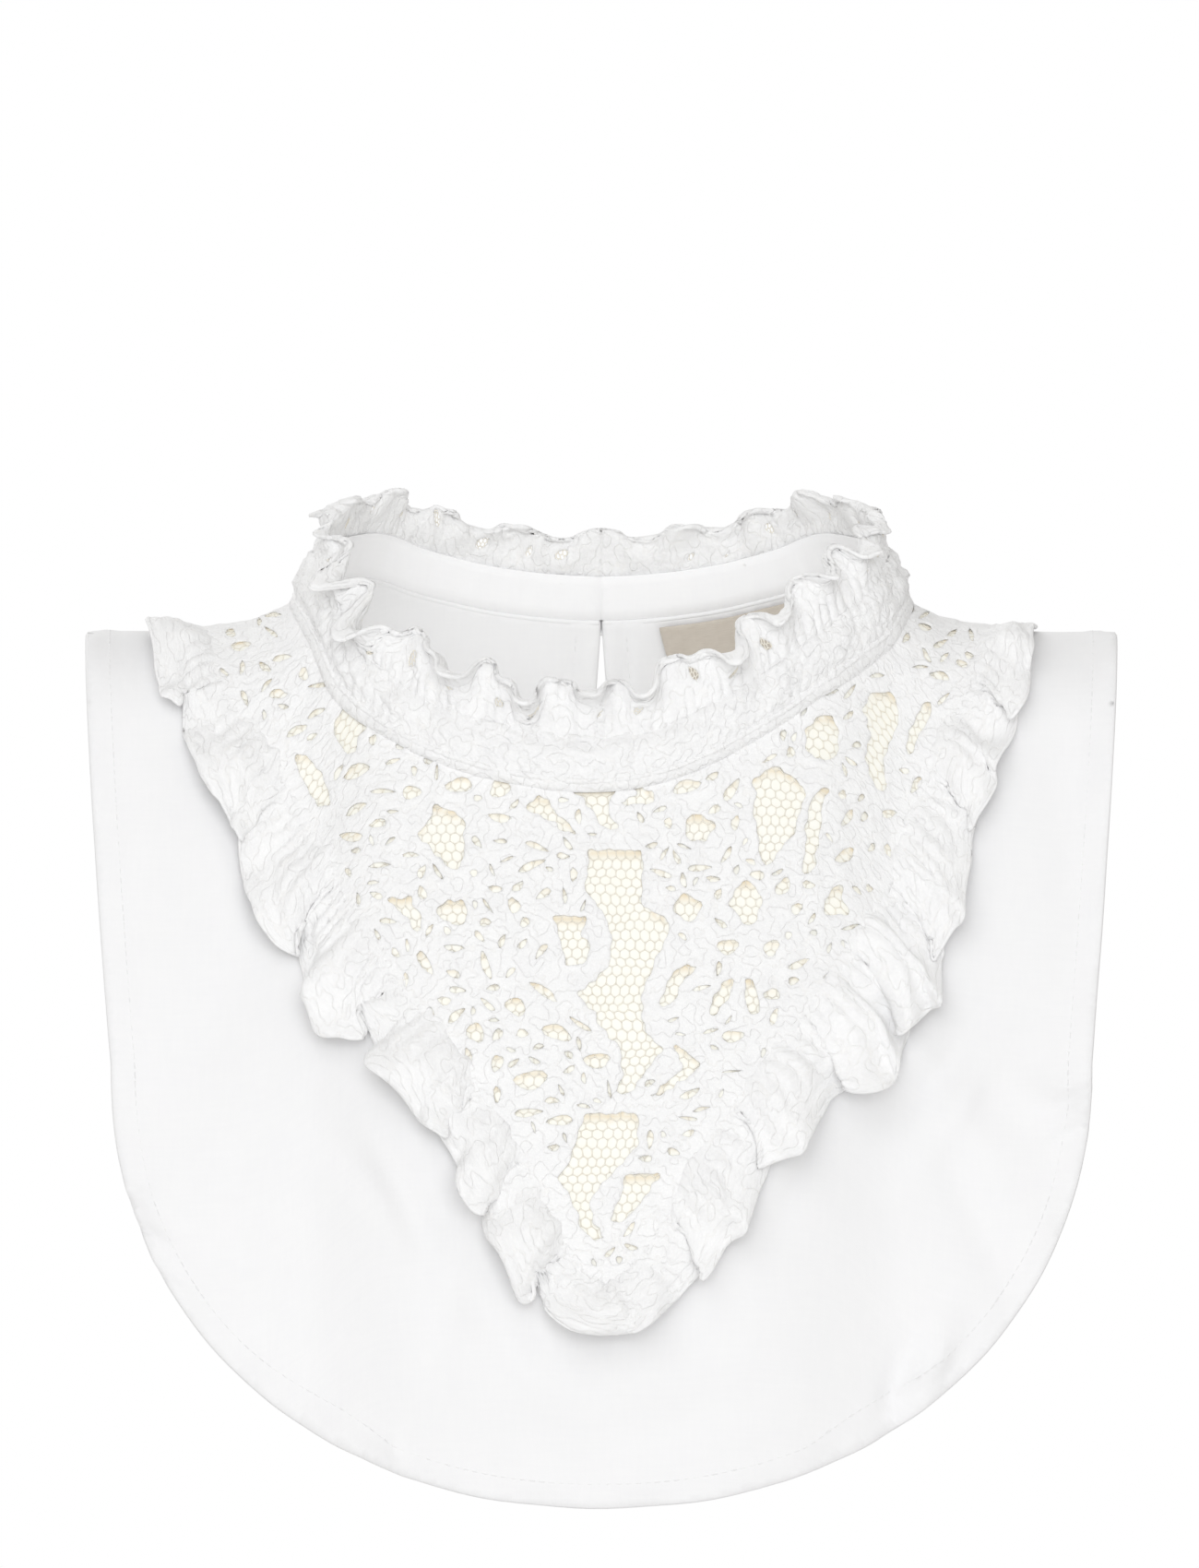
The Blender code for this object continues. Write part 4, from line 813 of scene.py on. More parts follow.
# Eyes in the petals and leaves: middle x, height, half length, half width, turn
eyeRows = (
    (-36.7, -50.2, 3.1, 2.2, 0), (-26.2, -51, 3.0, 2.2, 10), (-16.8, -66, 2.9, 1.0, -20),
    (-18.2, -71, 3.4, 1.2, 20), (-29.8, -96.7, 3.3, 1.3, -72), (-14.9, -103.4, 4.4, 1.1, -32),
    (-22.1, -107.3, 2.6, 2.4, 0), (-11.5, -114, 3.5, 2.2, -25), (-1.2, -121.2, 3.8, 1.8, 0),
    (-18.2, -126.2, 3.9, 2.7, 0), (-19, -134.6, 3.6, 1.2, 0), (-10.6, -136.6, 3.0, 1.6, 8),
    (-32.4, -114, 2.8, 2.1, 90), (-37.4, -109.6, 2.6, 1.2, 35), (-26.9, -121.9, 2.6, 1.4, 75),
    (-45.4, -96, 3.8, 1.2, -60), (-63.1, -46.3, 3.6, 1.8, 15), (-69.8, -49.9, 2.6, 2.2, 0),
    (-63.1, -56.2, 3.0, 1.2, 25), (-49, -52, 2.2, 2.0, 0), (-64.3, -63.4, 3.4, 1.2, -5),
    (46.8, -76.4, 2.4, 1.8, 70), (32.6, -91.9, 2.5, 2.3, 0), (43.7, -92.2, 2.1, 2.1, 0),
    (43.9, -104.2, 2.1, 1.6, -20), (33.8, -115, 2.6, 1.8, 15), (22.8, -129.8, 3.0, 1.0, 30),
    (62.4, -68.4, 2.9, 1.6, 25), (63.2, -58.6, 2.4, 1.2, 50), (22, -50.6, 3.6, 1.8, 25),
    (33.6, -51.6, 3.0, 1.5, 60), (34.6, -60, 2.0, 1.2, 90), (32.4, -68.2, 2.2, 1.0, 55),
    (15.6, -73, 2.8, 1.0, -15), (25.2, -71.6, 3.0, 1.0, 0), (12.6, -141.4, 2.4, 1.0, 80),
    (50.6, -96.4, 2.8, 1.1, 20), (-38, -92.2, 2.6, 1.0, -10), (-26.3, -58.6, 3.3, 1.1, -12),
    (-57.4, -60, 2.4, 1.1, 5), (83, -38, 2.4, 1.1, 70), (81.6, -50, 2.4, 1.2, 50),
    (-79, -36, 2.8, 1.3, 35), (-84, -26.5, 2.6, 1.2, 10), (-94, -14.5, 2.6, 1.4, 0),
    (88, -22, 2.6, 1.2, -20), (-57, -70.8, 2.8, 0.8, 0), (-19.8, -85.6, 1.5, 1.3, 0),
    (-30, -85.6, 1.4, 1.4, 0), (-25.7, -90.5, 2, 0.9, 60), (-20.4, -91.2, 2, 0.8, 45),
    (-15.5, -93, 2.4, 1, 60), (-38, -98.9, 2, 1.1, -35), (-23.5, -98.5, 1.6, 1, 50),
    (-40.4, -105.8, 1.8, 1.2, 10), (-20.4, -114.2, 1.8, 1.1, 0), (-5.3, -112, 3, 0.9, -35),
    (-26.9, -129.9, 1.2, 2, 0), (-26, -64.7, 2, 0.7, -10), (-24.4, -69.3, 1.8, 0.6, 20),
    (-7.2, -73.3, 2, 1, 80), (-14.9, -78.2, 2.4, 1, 40), (-2.3, -62.9, 1.4, 0.5, 0),
    (-22.6, -81.3, 1.6, 2.2, 0), (20.3, -57.2, 2.6, 0.6, -10), (61.2, -48.9, 3.4, 1, 40),
    (15.1, -44.6, 3.8, 1.2, 25), (28.8, -48, 2, 1, 40), (54.5, -88.3, 1.2, 0.8, 0),
    (53.2, -76, 1.6, 1.2, 0), (50.2, -82.1, 1.6, 1.6, 0), (40.3, -73.4, 1.8, 1.4, 0),
    (22.5, -136.1, 2.6, 0.6, -5), (-85.2, -6.5, 2.2, 0.8, 10), (-85.6, -10.9, 2, 0.8, -30),
    (-96.7, -11.3, 1.6, 1.2, 0), (-91.7, -13.6, 2.4, 1, -60), (-82.9, -17.3, 3, 0.8, 10),
    (-87.5, -19.8, 1.8, 1.1, -40), (-82.9, -24.8, 2.2, 1.8, 30), (-77.1, -21.3, 1.6, 1.6, 0),
    (-72.5, -24, 3.2, 0.8, 15), (-78.3, -28.6, 4.0, 1.8, 0), (-73.7, -31.3, 2.4, 1, 30),
    (-74.9, -37.4, 1.6, 1, 20), (-74.4, -45.1, 2.6, 1.3, -50), (-56.4, -51.7, 3, 0.8, -5),
    (-56.7, -56.3, 2.2, 1.3, 5), (44, -30.5, 3.2, 1.7, 50), (48.9, -41.7, 1.4, 1.4, 0),
    (67.5, -58.3, 1.6, 0.9, 70), (66.7, -53.4, 1.3, 0.8, 70), (74.2, -57.5, 2.2, 1.1, 0),
    (49.3, -100.7, 1.6, 1.1, 0), (18.5, -110.7, 1.6, 0.6, 15), (28.1, -113.6, 2, 0.7, 20),
    (33.5, -124, 2.4, 0.5, 5), (16, -140.2, 1, 0.8, -40), (18.5, -144.7, 1.8, 1.1, -30),
    (88, -14, 2.2, 0.9, 20), (94, -19, 2, 1, -30), (64, -20, 2.6, 0.9, 30),
)

windowShape = dict(
    step=0.0008, bay=0.00024, unevenBay=(0.00042, 0.0030, 4), apart=0.0009, margin=0.0008,
    boxMargin=0.0012, reach=0.01,
)
flowers = dict(
    seed=23, columnPitch=13.0, rowPitch=11.5, astray=4, eyesFrom=5, eyesBelow=8, turnAstray=14,
    away=(3.2, 5.2), halfLong=(1.2, 2.2), halfWide=(0.60, 1.10),
)


def windowOutline(rows):
    # Outline of a window, its corners a little rounded and its edge uneven
    levels = np.array(rows) / 1000
    line = np.concatenate([levels[:, [1, 0]], levels[::-1][:, [2, 0]]])
    line = filledLoop(line, windowShape["step"])
    for _ in range(2):
        line = (np.roll(line, 1, axis=0) + 2 * line + np.roll(line, -1, axis=0)) / 4
    way = unit(np.roll(line, -1, axis=0) - np.roll(line, 1, axis=0))
    bay = windowShape["bay"] + crumpled(line[:, 0], line[:, 1], windowShape["unevenBay"])
    line = line + np.stack([-way[:, 1], way[:, 0]], axis=1) * -bay[:, None]
    return np.stack([line[:, 0], frontDepth(line[:, 0], line[:, 1])], axis=1)


def turnedPoints(x, y, along, across, turn):
    lean = math.radians(turn)
    return (
        x + along * math.cos(lean) - across * math.sin(lean),
        y + along * math.sin(lean) + across * math.cos(lean),
    )


def eyeOutline(row):
    midX, midZ, halfLong, halfWide, turn = row
    turns = np.linspace(0, 2 * math.pi, 14 if halfLong > 2 else 10, endpoint=False)
    wobble = 1.06 + 0.15 * np.sin(2 * turns + midX) + 0.11 * np.sin(3 * turns + 1.3 * midZ)
    along = np.cos(turns) * halfLong * wobble
    across = np.sin(turns) * halfWide * wobble * np.abs(np.sin(turns)) ** 0.15
    x, z = turnedPoints(midX, midZ, along, across, turn)
    return np.stack([x / 1000, frontDepth(x / 1000, z / 1000)], axis=1)


def flowerEyes():
    # Slits that radiate round the middles of small worked flowers
    dice = np.random.default_rng(flowers["seed"])
    astray, turnAstray = flowers["astray"], flowers["turnAstray"]
    rows = []
    for column in np.arange(-98, 99, flowers["columnPitch"]):
        for level in np.arange(-8, -176, -flowers["rowPitch"]):
            x, z = column + dice.uniform(-astray, astray), level + dice.uniform(-astray, astray)
            count, first = dice.integers(flowers["eyesFrom"], flowers["eyesBelow"]), dice.uniform(0, 360)
            for k in range(count):
                turn = first + 360 * k / count + dice.uniform(-turnAstray, turnAstray)
                away, lean = dice.uniform(*flowers["away"]), math.radians(turn)
                halfLong, halfWide = dice.uniform(*flowers["halfLong"]), dice.uniform(*flowers["halfWide"])
                rows.append((x + away * math.cos(lean), z + away * math.sin(lean), halfLong, halfWide, turn))
    return rows


def laceWindows(outline):
    # Every opening that stays clear of the edge and of the openings before it
    kept, boxes, reach = [], [], windowShape["reach"]
    outlines = [*map(windowOutline, windowRows), *map(eyeOutline, [*eyeRows, *flowerEyes()])]
    for window in outlines:
        clear = insideOf(window, outline).all()
        clear = clear and nearestTo(window, outline, reach).min() > windowShape["margin"]
        low = window.min(axis=0) - windowShape["boxMargin"]
        high = window.max(axis=0) + windowShape["boxMargin"]
        for other, (otherLow, otherHigh) in zip(kept, boxes):
            if not clear:
                break
            if (high < otherLow).any() or (low > otherHigh).any():
                continue
            apart = nearestTo(window, other, reach).min() > windowShape["apart"]
            clear = apart and not insideOf(window, other).any() and not insideOf(other, window).any()
        if clear:
            kept.append(window)
            boxes.append((window.min(axis=0), window.max(axis=0)))
    return kept


yokeCut = np.concatenate([yokeSeam(bib["seamGap"] / 2), spaced(neckHalf(True)[::-1], bib["seamStep"])])
yokeCut = filledLoop(yokeCut, bib["cutStep"])
windows = laceWindows(yokeCut)
print("lace windows:", len(windows))

# How the painted shade on the lining spreads under each window
lining = dict(
    step=0.0014, quickStep=0.0025, wall=0.0004, shade=0.85, shadeReach=0.0034, shadeShare=0.45,
    leastShade=0.30, fullShadeTall=0.006, beside=0.0016, leastReach=0.001,
)


def liningPaintedShade(flat):
    # Painted shade of the lace: a tan colour on the lining, deepest along the top of each window
    shadow = np.zeros(len(flat))
    for window in windows:
        tall = np.ptp(window[:, 1])
        reach = max(min(lining["shadeReach"], lining["shadeShare"] * tall), lining["leastReach"])
        fuller = eased(tall / lining["fullShadeTall"])
        strength = lining["leastShade"] + (1 - lining["leastShade"]) * fuller
        for k in np.where(insideOf(flat, window))[0]:
            ahead = window[np.abs(window[:, 0] - flat[k, 0]) < lining["beside"]]
            top = ahead[:, 1].min() if len(ahead) else window[:, 1].min()
            shadow[k] = strength * (1 - eased((flat[k, 1] - top) / reach))
    return shadow * lining["shade"]


flat, faces = cutSheet(yokeCut, [], meshStep(lining["step"]))
middle = clothPoint(flat[:, 0], flat[:, 1], np.full(len(flat), yoke["liningLift"]))
yokeLining = makeShell(
    "yokeLining", flat, faces, middle, lining["wall"], liningFinish, paintedShades=liningPaintedShade(flat),
)
standFor("yoke_lining")

lace = dict(
    step=0.00095, quickStep=0.002, lift=0.0003, wall=0.0005, rim=0.00016, rimAt=0.0007,
    rimWide=0.0009, rimReach=0.006, waver=(0.00016, 0.0075, 61), fineWaver=(0.00007, 0.0022, 62),
)

flat, faces = cutSheet(yokeCut, windows, meshStep(lace["step"]))
x, depth = flat[:, 0], flat[:, 1]
edgeGap = nearestOf(flat, windows, lace["rimReach"])
rise = lace["rim"] * bell((edgeGap - lace["rimAt"]) / lace["rimWide"])
waver = crumpled(x, depth, lace["waver"]) + crumpled(x, depth, lace["fineWaver"])
middle = clothPoint(x, depth, yoke["laceLift"] + lace["lift"] + rise + waver)
yokeLace = makeShell("yokeLace", flat, faces, middle, lace["wall"], laceFinish)
standFor("yoke_lace")

yokeNet = dict(cellWide=0.0025, cellHigh=0.0031, cord=0.00013, lift=0.00150, seed=11, least=0.000006)
knotting = dict(
    places=(0.0, 0.22, 0.5, 0.78, 1.0), thick=(1.4, 1.0, 0.9, 1.0, 1.4), sides=4,
    over=0.0014, overShare=0.42, margin=0.002, warp=0.16, warpSize=5, shiver=0.05, shiverPitch=9000,
)


def netCells(opening, wide, tall):
    # Cords of the six-sided cells over one opening, and a little under its edge
    low, high = opening.min(axis=0) - knotting["margin"], opening.max(axis=0) + knotting["margin"]
    firstColumn, lastColumn = int(low[0] // wide) - 1, int(high[0] // wide) + 2
    pitch = tall * 0.75
    firstRow, lastRow = int(low[1] // pitch) - 1, int(high[1] // pitch) + 2
    found = []
    for row in range(firstRow, lastRow):
        for column in range(firstColumn, lastColumn):
            x, y = (column + 0.5 * (row % 2)) * wide, row * pitch
            top, beside = (x, y + tall * 0.5), x + 0.5 * wide
            found += [((x, y), top), (top, (beside, y + pitch)), (top, (beside - wide, y + pitch))]
    ends = np.array(found)
    middles = ends.mean(axis=1)
    near = nearestTo(middles, opening, knotting["over"]) < wide * knotting["overShare"]
    return ends[insideOf(middles, opening) | near]


def makeNet(name, openings, placeOf, net):
    wide, tall = net["cellWide"], net["cellHigh"]
    large = [a for a in openings if np.ptp(a[:, 0]) * np.ptp(a[:, 1]) >= net["least"]]
    ends = np.concatenate([netCells(opening, wide, tall) for opening in large])
    ends = np.unique(ends.round(7), axis=0)
    size = wide * knotting["warpSize"]
    warp = np.stack([
        uneven(ends[..., 0], ends[..., 1], size, net["seed"]) * wide * knotting["warp"],
        uneven(ends[..., 0], ends[..., 1], size, net["seed"] + 1) * tall * knotting["warp"],
    ], axis=-1)
    start = np.random.default_rng(net["seed"]).uniform(0, 6)
    warp += knotting["shiver"] * wide * np.sin(ends[..., ::-1] * knotting["shiverPitch"] + start)
    ends = ends + warp
    lines = ends[:, :1] + (ends[:, 1:] - ends[:, :1]) * np.array(knotting["places"])[None, :, None]
    shape = (len(ends), len(knotting["places"]), 3)
    places, ups = (a.reshape(shape) for a in placeOf(lines.reshape(-1, 2)))
    radii = net["cord"] * np.array(knotting["thick"])
    return addTubes(name, places, ups, radii, knotting["sides"], netPaintedShadeFinish)


def yokeNetPlace(flat):
    ups = bareNormal(flat[:, 0], flat[:, 1])
    return clothPoint(flat[:, 0], flat[:, 1], np.full(len(flat), yokeNet["lift"])), ups


makeNet("laceNet", windows, yokeNetPlace, yokeNet)
print("yoke made")


# Collar: band, facing and frill round the neck ring

collar = dict(
    bandHeight=0.0110, bandWall=0.0012, lean=math.radians(22), halfGap=0.0001, frontLift=0.0037,
    backLift=0.0020, foot=0.0034, footLift=0.0020, backFootLift=0.0010, under=0.0040,
    backFrom=0.001, backOver=0.012, outReach=0.003,
)


def makeRing():
    place = neckline()
    onBack = eased((-place[:, 1] - collar["backFrom"]) / collar["backOver"])
    lift = collar["frontLift"] + (collar["backLift"] - collar["frontLift"]) * onBack
    line = clothPoint(place[:, 0], place[:, 1], lift)
    line[0, 0] = line[-1, 0] = 0.0
    sides = [movedAside(place, way * collar["foot"]) for way in (1, -1)]
    outer = max(sides, key=lambda moved: np.ptp(moved[:, 0]))
    lift = collar["footLift"] + (collar["backFootLift"] - collar["footLift"]) * onBack
    foot = clothPoint(outer[:, 0], outer[:, 1], lift)
    foot[0, 0] = foot[-1, 0] = 0.0
    return lengthsAlong(line), line, foot


ringAlong, ringLine, ringFoot = makeRing()
ringLength = ringAlong[-1]


def ringFrames(distances):
    point = pointsAt(distances, ringAlong, ringLine)
    ahead, behind = (
        pointsAt(np.clip(distances + step, 0, ringLength), ringAlong, ringLine[:, :2])
        for step in (collar["outReach"], -collar["outReach"])
    )
    way = unit(ahead - behind)
    out = np.stack([way[:, 1], -way[:, 0], np.zeros(len(way))], axis=1)
    out *= np.sign((out * point).sum(axis=1))[:, None]
    up = np.array([0, 0, 1]) * math.cos(collar["lean"]) - out * math.sin(collar["lean"])
    return point, out, up


def stripCut(height, step, picot=None, under=0.0):
    # Flat strip round the ring, with a free upper edge that may be uneven
    at = np.arange(collar["halfGap"], ringLength - collar["halfGap"], step)
    at = np.append(at, ringLength - collar["halfGap"])
    top = height + (0 if picot is None else picot(at))
    lower = np.stack([at, np.zeros(len(at)) - under], axis=1)
    upper = np.stack([at, np.zeros(len(at)) + top], axis=1)
    return filledLoop(np.concatenate([lower, upper[::-1]]), step * 1.2)


band = dict(
    step=0.0012, wall=0.0009, swell=0.0016, swellPast=0.001, gatherPitch=0.0031, gather=0.00030,
    lowGather=0.0034, highGather=0.0044, crumple=(0.00085, 0.011, 21), fine=(0.00045, 0.0042, 22),
    bendDown=0.0022,
)
bandCut = stripCut(collar["bandHeight"], band["step"], None, collar["under"])
flat, faces = cutSheet(bandCut, [], band["step"])
at, above = flat[:, 0], clamped(flat[:, 1])
point, out, up = ringFrames(at)
gathers = np.sin(at / band["gatherPitch"] * 2 * math.pi + 3 * np.sin(at * 90))
nearEdge = bell(flat[:, 1] / band["lowGather"])
nearEdge = nearEdge + bell((flat[:, 1] - collar["bandHeight"]) / band["highGather"])
swell = (above + band["swellPast"]) / (collar["bandHeight"] + band["swellPast"])
swell = band["swell"] * np.sin(math.pi * clamped(swell))
crumple = crumpled(at, flat[:, 1] * 1.8, band["crumple"]) + crumpled(at, flat[:, 1] * 1.3, band["fine"])
outward = swell + crumple * (0.4 + 0.6 * eased(flat[:, 1] / 0.003)) + band["gather"] * gathers * nearEdge
# Below its seam the band bends out and lies down on the yoke
bent = clamped(-flat[:, 1] / collar["under"])[:, None]
foot = pointsAt(at, ringAlong, ringFoot)
bend = (1 - bent) ** 2 * point + 2 * bent * (1 - bent) * (point - up * band["bendDown"]) + bent ** 2 * foot
middle = np.where(bent > 0, bend, point + up * above[:, None])
middle = middle + out * (outward * (1 - bent[:, 0] ** 2))[:, None]
collarBand = makeShell("collarBand", flat, faces, middle, band["wall"], laceFinish, flip=False)
standFor("collar_band")

facing = dict(
    step=0.003, meshStep=0.0024, wall=0.0006, higher=0.0010, up=0.0002, inset=0.0014,
    ripple=0.00018,
)
facingCut = stripCut(collar["bandHeight"] + facing["higher"], facing["step"])
flat, faces = cutSheet(facingCut, [], facing["meshStep"])
point, out, up = ringFrames(flat[:, 0])
ripple = np.sin(flat[:, 0] * 700) * np.sin(math.pi * flat[:, 1] / collar["bandHeight"])
inward = facing["ripple"] * ripple - facing["inset"]
middle = point + up * (flat[:, 1:] + facing["up"]) + out * inward[:, None]
collarFacing = makeShell("collarFacing", flat, faces, middle, facing["wall"], facingPaintedLightFinish, flip=False)
standFor("collar_facing")

# Folds of the collar frill: share of the way round, height of the collar, how far out
neckFolds = (
    (0.290, 21.0, -1.5), (0.309, 17.0, 4.2), (0.328, 22.0, -2.5), (0.347, 15.5, 4.6),
    (0.367, 21.0, 0.0), (0.384, 23.5, -3.0), (0.403, 22.5, 1.0), (0.421, 19.5, 4.0),
    (0.435, 25.5, -2.5), (0.450, 22.0, 1.0), (0.463, 17.5, 4.2), (0.474, 24.5, -1.5),
    (0.484, 24.0, -2.8), (0.497, 21.5, 3.4), (0.515, 24.5, -2.5), (0.530, 20.0, 3.8),
    (0.546, 26.5, -2.5), (0.565, 24.5, 1.0), (0.586, 20.5, 3.8), (0.602, 26.0, -2.5),
    (0.622, 22.5, 3.4), (0.645, 25.5, -2.0), (0.664, 22.5, 3.0), (0.681, 26.0, -2.0),
    (0.698, 20.5, 3.0), (0.718, 22.5, -1.5),
)
neckFrillShape = dict(
    step=0.00085, quickStep=0.0013, edgeStep=0.0009, wall=0.0011, flatHeight=0.0185,
    evenFolds=12, back=22.6, side=19.6, change=1.2, evenOut=1.4, foot=0.0006,
    swing=1.42, loop=0.0007, roll=0.0027, rollLeast=0.0006, rollMost=0.0040, rollFrom=0.50,
    rollTurn=math.radians(160), endFade=0.008, frontFrom=0.24, frontOver=0.06,
    rollWaves=(0.35, 0.016, 31), turnWaves=(0.35, 0.020, 34), pleat=0.00045, pleatPitch=0.0034,
    pleatAt=0.14, pleatWide=0.16, crumple=(0.0010, 0.0090, 32), backCrumple=(0.0012, 0.0130, 37),
    grain=(0.00030, 0.0030, 33), rise=(0.0006, 0.0075, 36),
)
picot = dict(height=0.0003, waves=(0.00035, 0.009, 8))


def neckFoldTable():
    # The folds of the front from their table, with even folds before and after them
    shape = neckFrillShape
    first, last = neckFolds[0][0], neckFolds[-1][0]
    before, after = [], []
    for k in range(shape["evenFolds"]):
        side = 1 if k % 2 else -1
        vary = 1 + 0.3 * math.sin(2.3 * k)
        middle = shape["back"] + (shape["side"] - shape["back"]) * k / shape["evenFolds"]
        fold = (middle - side * shape["change"] * vary, side * shape["evenOut"] * vary)
        before.append((first * k / shape["evenFolds"], *fold))
        after.append((1 - (1 - last) * k / shape["evenFolds"], *fold))
    return np.array(before + list(neckFolds) + after[::-1])


def easedBetween(at, knots, values):
    spot = np.clip(np.searchsorted(knots, at, side="right") - 1, 0, len(knots) - 2)
    share = eased((at - knots[spot]) / (knots[spot + 1] - knots[spot]))
    return values[spot] + (values[spot + 1] - values[spot]) * share


def picotEdge(at):
    # Slight uneven scallops along a free lace edge
    scallops = picot["height"] * np.abs(np.sin(at * 640 + 1.2 * np.sin(at * 97)))
    return scallops + crumpled(at, at * 0, picot["waves"])


def neckFrillPoint(flat):
    # Folds swing out and in; the free edge rolls over towards the outside
    shape, folds = neckFrillShape, neckFoldTable()
    at, share = flat[:, 0], flat[:, 1] / shape["flatHeight"]
    around, nearest, still = at / ringLength, np.minimum(at, ringLength - at), at * 0
    total = easedBetween(around, folds[:, 0], folds[:, 1]) / 1000
    swing = easedBetween(around, folds[:, 0], folds[:, 2]) / 1000
    phase = np.interp(around, folds[:, 0], np.arange(len(folds))) * math.pi
    ends = eased(nearest / shape["endFade"])
    swing = swing * (0.1 + 0.9 * ends)
    foot = collar["bandHeight"] - shape["foot"]
    free = total / math.cos(collar["lean"]) - foot
    high = clamped(share, 0, 1.2)
    inFront = eased((nearest / ringLength - shape["frontFrom"]) / shape["frontOver"])
    bulge = eased(swing * 1000 / 7 + 0.5)
    radius = shape["roll"] * (0.85 + crumpled(at, still, shape["rollWaves"])) * (0.35 + 0.65 * ends)
    radius = radius * (0.30 + 0.70 * inFront) * (0.55 + 0.65 * bulge)
    radius = clamped(radius, shape["rollLeast"], shape["rollMost"])
    most = shape["rollTurn"] * (0.8 + crumpled(at, still, shape["turnWaves"]))
    turn = clamped((share - shape["rollFrom"]) / (1 - shape["rollFrom"]), 0, 1.1) * most
    rise = foot + (free - radius) * clamped(share / shape["rollFrom"]) + radius * np.sin(turn)
    outward = shape["swing"] * swing * high ** 1.1 + radius * (1 - np.cos(turn))
    pleats = np.sin(at * 2 * math.pi / shape["pleatPitch"] + 2.0 * uneven(at, still, 0.018, 35))
    pleated = bell((share - shape["pleatAt"]) / shape["pleatWide"])
    outward += shape["pleat"] * (0.3 + 0.7 * inFront) * pleats * pleated
    loose = clamped(2 * high) * ends
    outward += crumpled(at, flat[:, 1] * 1.4, shape["crumple"]) * loose
    outward += (1 - inFront) * crumpled(at, flat[:, 1] * 1.2, shape["backCrumple"]) * loose
    outward += crumpled(at, flat[:, 1], shape["grain"]) * (0.4 + high)
    rise = rise + crumpled(at, flat[:, 1], shape["rise"]) * high * ends
    slide = ends * shape["loop"] * high ** 0.8 * np.sin(2 * phase)
    point, out, up = ringFrames(at + slide)
    return point + up * rise[:, None] + out * outward[:, None]


def neckFrillPlace(flat):
    # Places on the frill and its upright directions
    right, up = np.array([0.0003, 0]), np.array([0, 0.0003])
    along = neckFrillPoint(flat + right) - neckFrillPoint(flat - right)
    across = neckFrillPoint(flat + up) - neckFrillPoint(flat - up)
    return neckFrillPoint(flat), unit(np.cross(along, across))


frillHoles = dict(
    count=34, seed=5, margin=0.009, astray=0.003, low=0.0036, high=0.0085, smallest=0.0012,
    largest=0.0024, width=0.6, turn=60,
)
frillNet = dict(cellWide=0.0010, cellHigh=0.0012, cord=0.00015, seed=13, least=0.0)


def neckFrillHoles():
    holes, dice = [], np.random.default_rng(frillHoles["seed"])
    count, astray = frillHoles["count"], frillHoles["astray"]
    run = ringLength - 2 * frillHoles["margin"]
    turns = np.linspace(0, 2 * math.pi, 9, endpoint=False)
    for k in range(count):
        x = frillHoles["margin"] + k * run / count + dice.uniform(-astray, astray)
        size = dice.uniform(frillHoles["smallest"], frillHoles["largest"])
        y = dice.uniform(frillHoles["low"], frillHoles["high"])
        turn = dice.uniform(-frillHoles["turn"], frillHoles["turn"])
        along, across = np.cos(turns) * size, np.sin(turns) * (size * frillHoles["width"])
        holes.append(np.stack(turnedPoints(x, y, along, across, turn), axis=1))
    return holes


neckHoles = neckFrillHoles()
neckFrillCut = stripCut(neckFrillShape["flatHeight"], neckFrillShape["edgeStep"], picotEdge)
step = meshStep(neckFrillShape["step"])
flat, faces = cutSheet(neckFrillCut, neckHoles, step)
neckFrill = makeShell(
    "neckFrill", flat, faces, neckFrillPoint(flat), neckFrillShape["wall"], laceFinish, flip=False,
)
makeNet("neckFrillNet", neckHoles, neckFrillPlace, frillNet)
standFor("neck_frill")
print("collar made")


# Frill round the V: each fold ends at a share of the way from the shoulder to the tip,
# stands up by its lift and spreads by its reach

leftFolds = (
    (0.170, 0.0042, 0.92), (0.320, 0.0058, 1.06), (0.475, 0.0056, 1.02), (0.615, 0.0066, 0.92),
    (0.755, 0.0068, 0.98), (0.840, 0.0080, 0.90), (0.945, 0.0070, 1.08),
)
rightFolds = (
    (0.180, 0.0042, 0.90), (0.290, 0.0056, 1.02), (0.440, 0.0064, 1.06), (0.545, 0.0084, 1.18),
    (0.650, 0.0074, 1.20), (0.770, 0.0070, 1.10), (0.900, 0.0066, 1.12),
)
vFrillShape = dict(
    step=0.0009, quickStep=0.0015, wall=0.0010, rootWall=0.0003, width=0.0172, tuck=0.0022,
    low=0.0024, end=0.0016, swing=0.0112, lift=1.22, waveLift=0.0021, waveSlide=0.0024, lip=0.0011,
    lipFrom=0.72, lipOver=0.22, pleat=0.00055, pleatPitch=0.0042, bead=0.00026, beadPitch=0.0019,
    beadRow=0.0021, tipLift=0.0016, tipWave=0.0026, tipWavePitch=0.0105, tipWide=0.017,
    tipStraight=0.014, rootWaves=(0.0009, 0.0060, 49), crumple=(0.0006, 0.0100, 41),
    grain=(0.00030, 0.0046, 42), slump=(0.0009, 0.0110, 48), least=0.0019,
    fullAt=0.84, crestAt=0.60, narrow=0.42, tipNarrow=0.34, tuckBack=0.17, endFrom=0.002,
    endOver=0.020, pleatAt=0.34, pleatWide=0.22, beadAt=0.20, beadWide=0.16, lowFrom=0.001,
    lowOver=0.006,
)


def foldFrames(share, folds):
    ends = np.array([0.0] + [row[0] for row in folds] + [2.0 - folds[-1][0]])
    fold = np.clip(np.searchsorted(ends, share, side="right") - 1, 0, len(ends) - 2)
    within = (share - ends[fold]) / (ends[fold + 1] - ends[fold])
    middles = (ends[1:] + ends[:-1]) / 2
    lift = np.interp(share, middles, [row[1] for row in folds] + [folds[-1][1]])
    reach = np.interp(share, middles, [row[2] for row in folds] + [folds[-1][2]])
    return within, lift, reach, fold


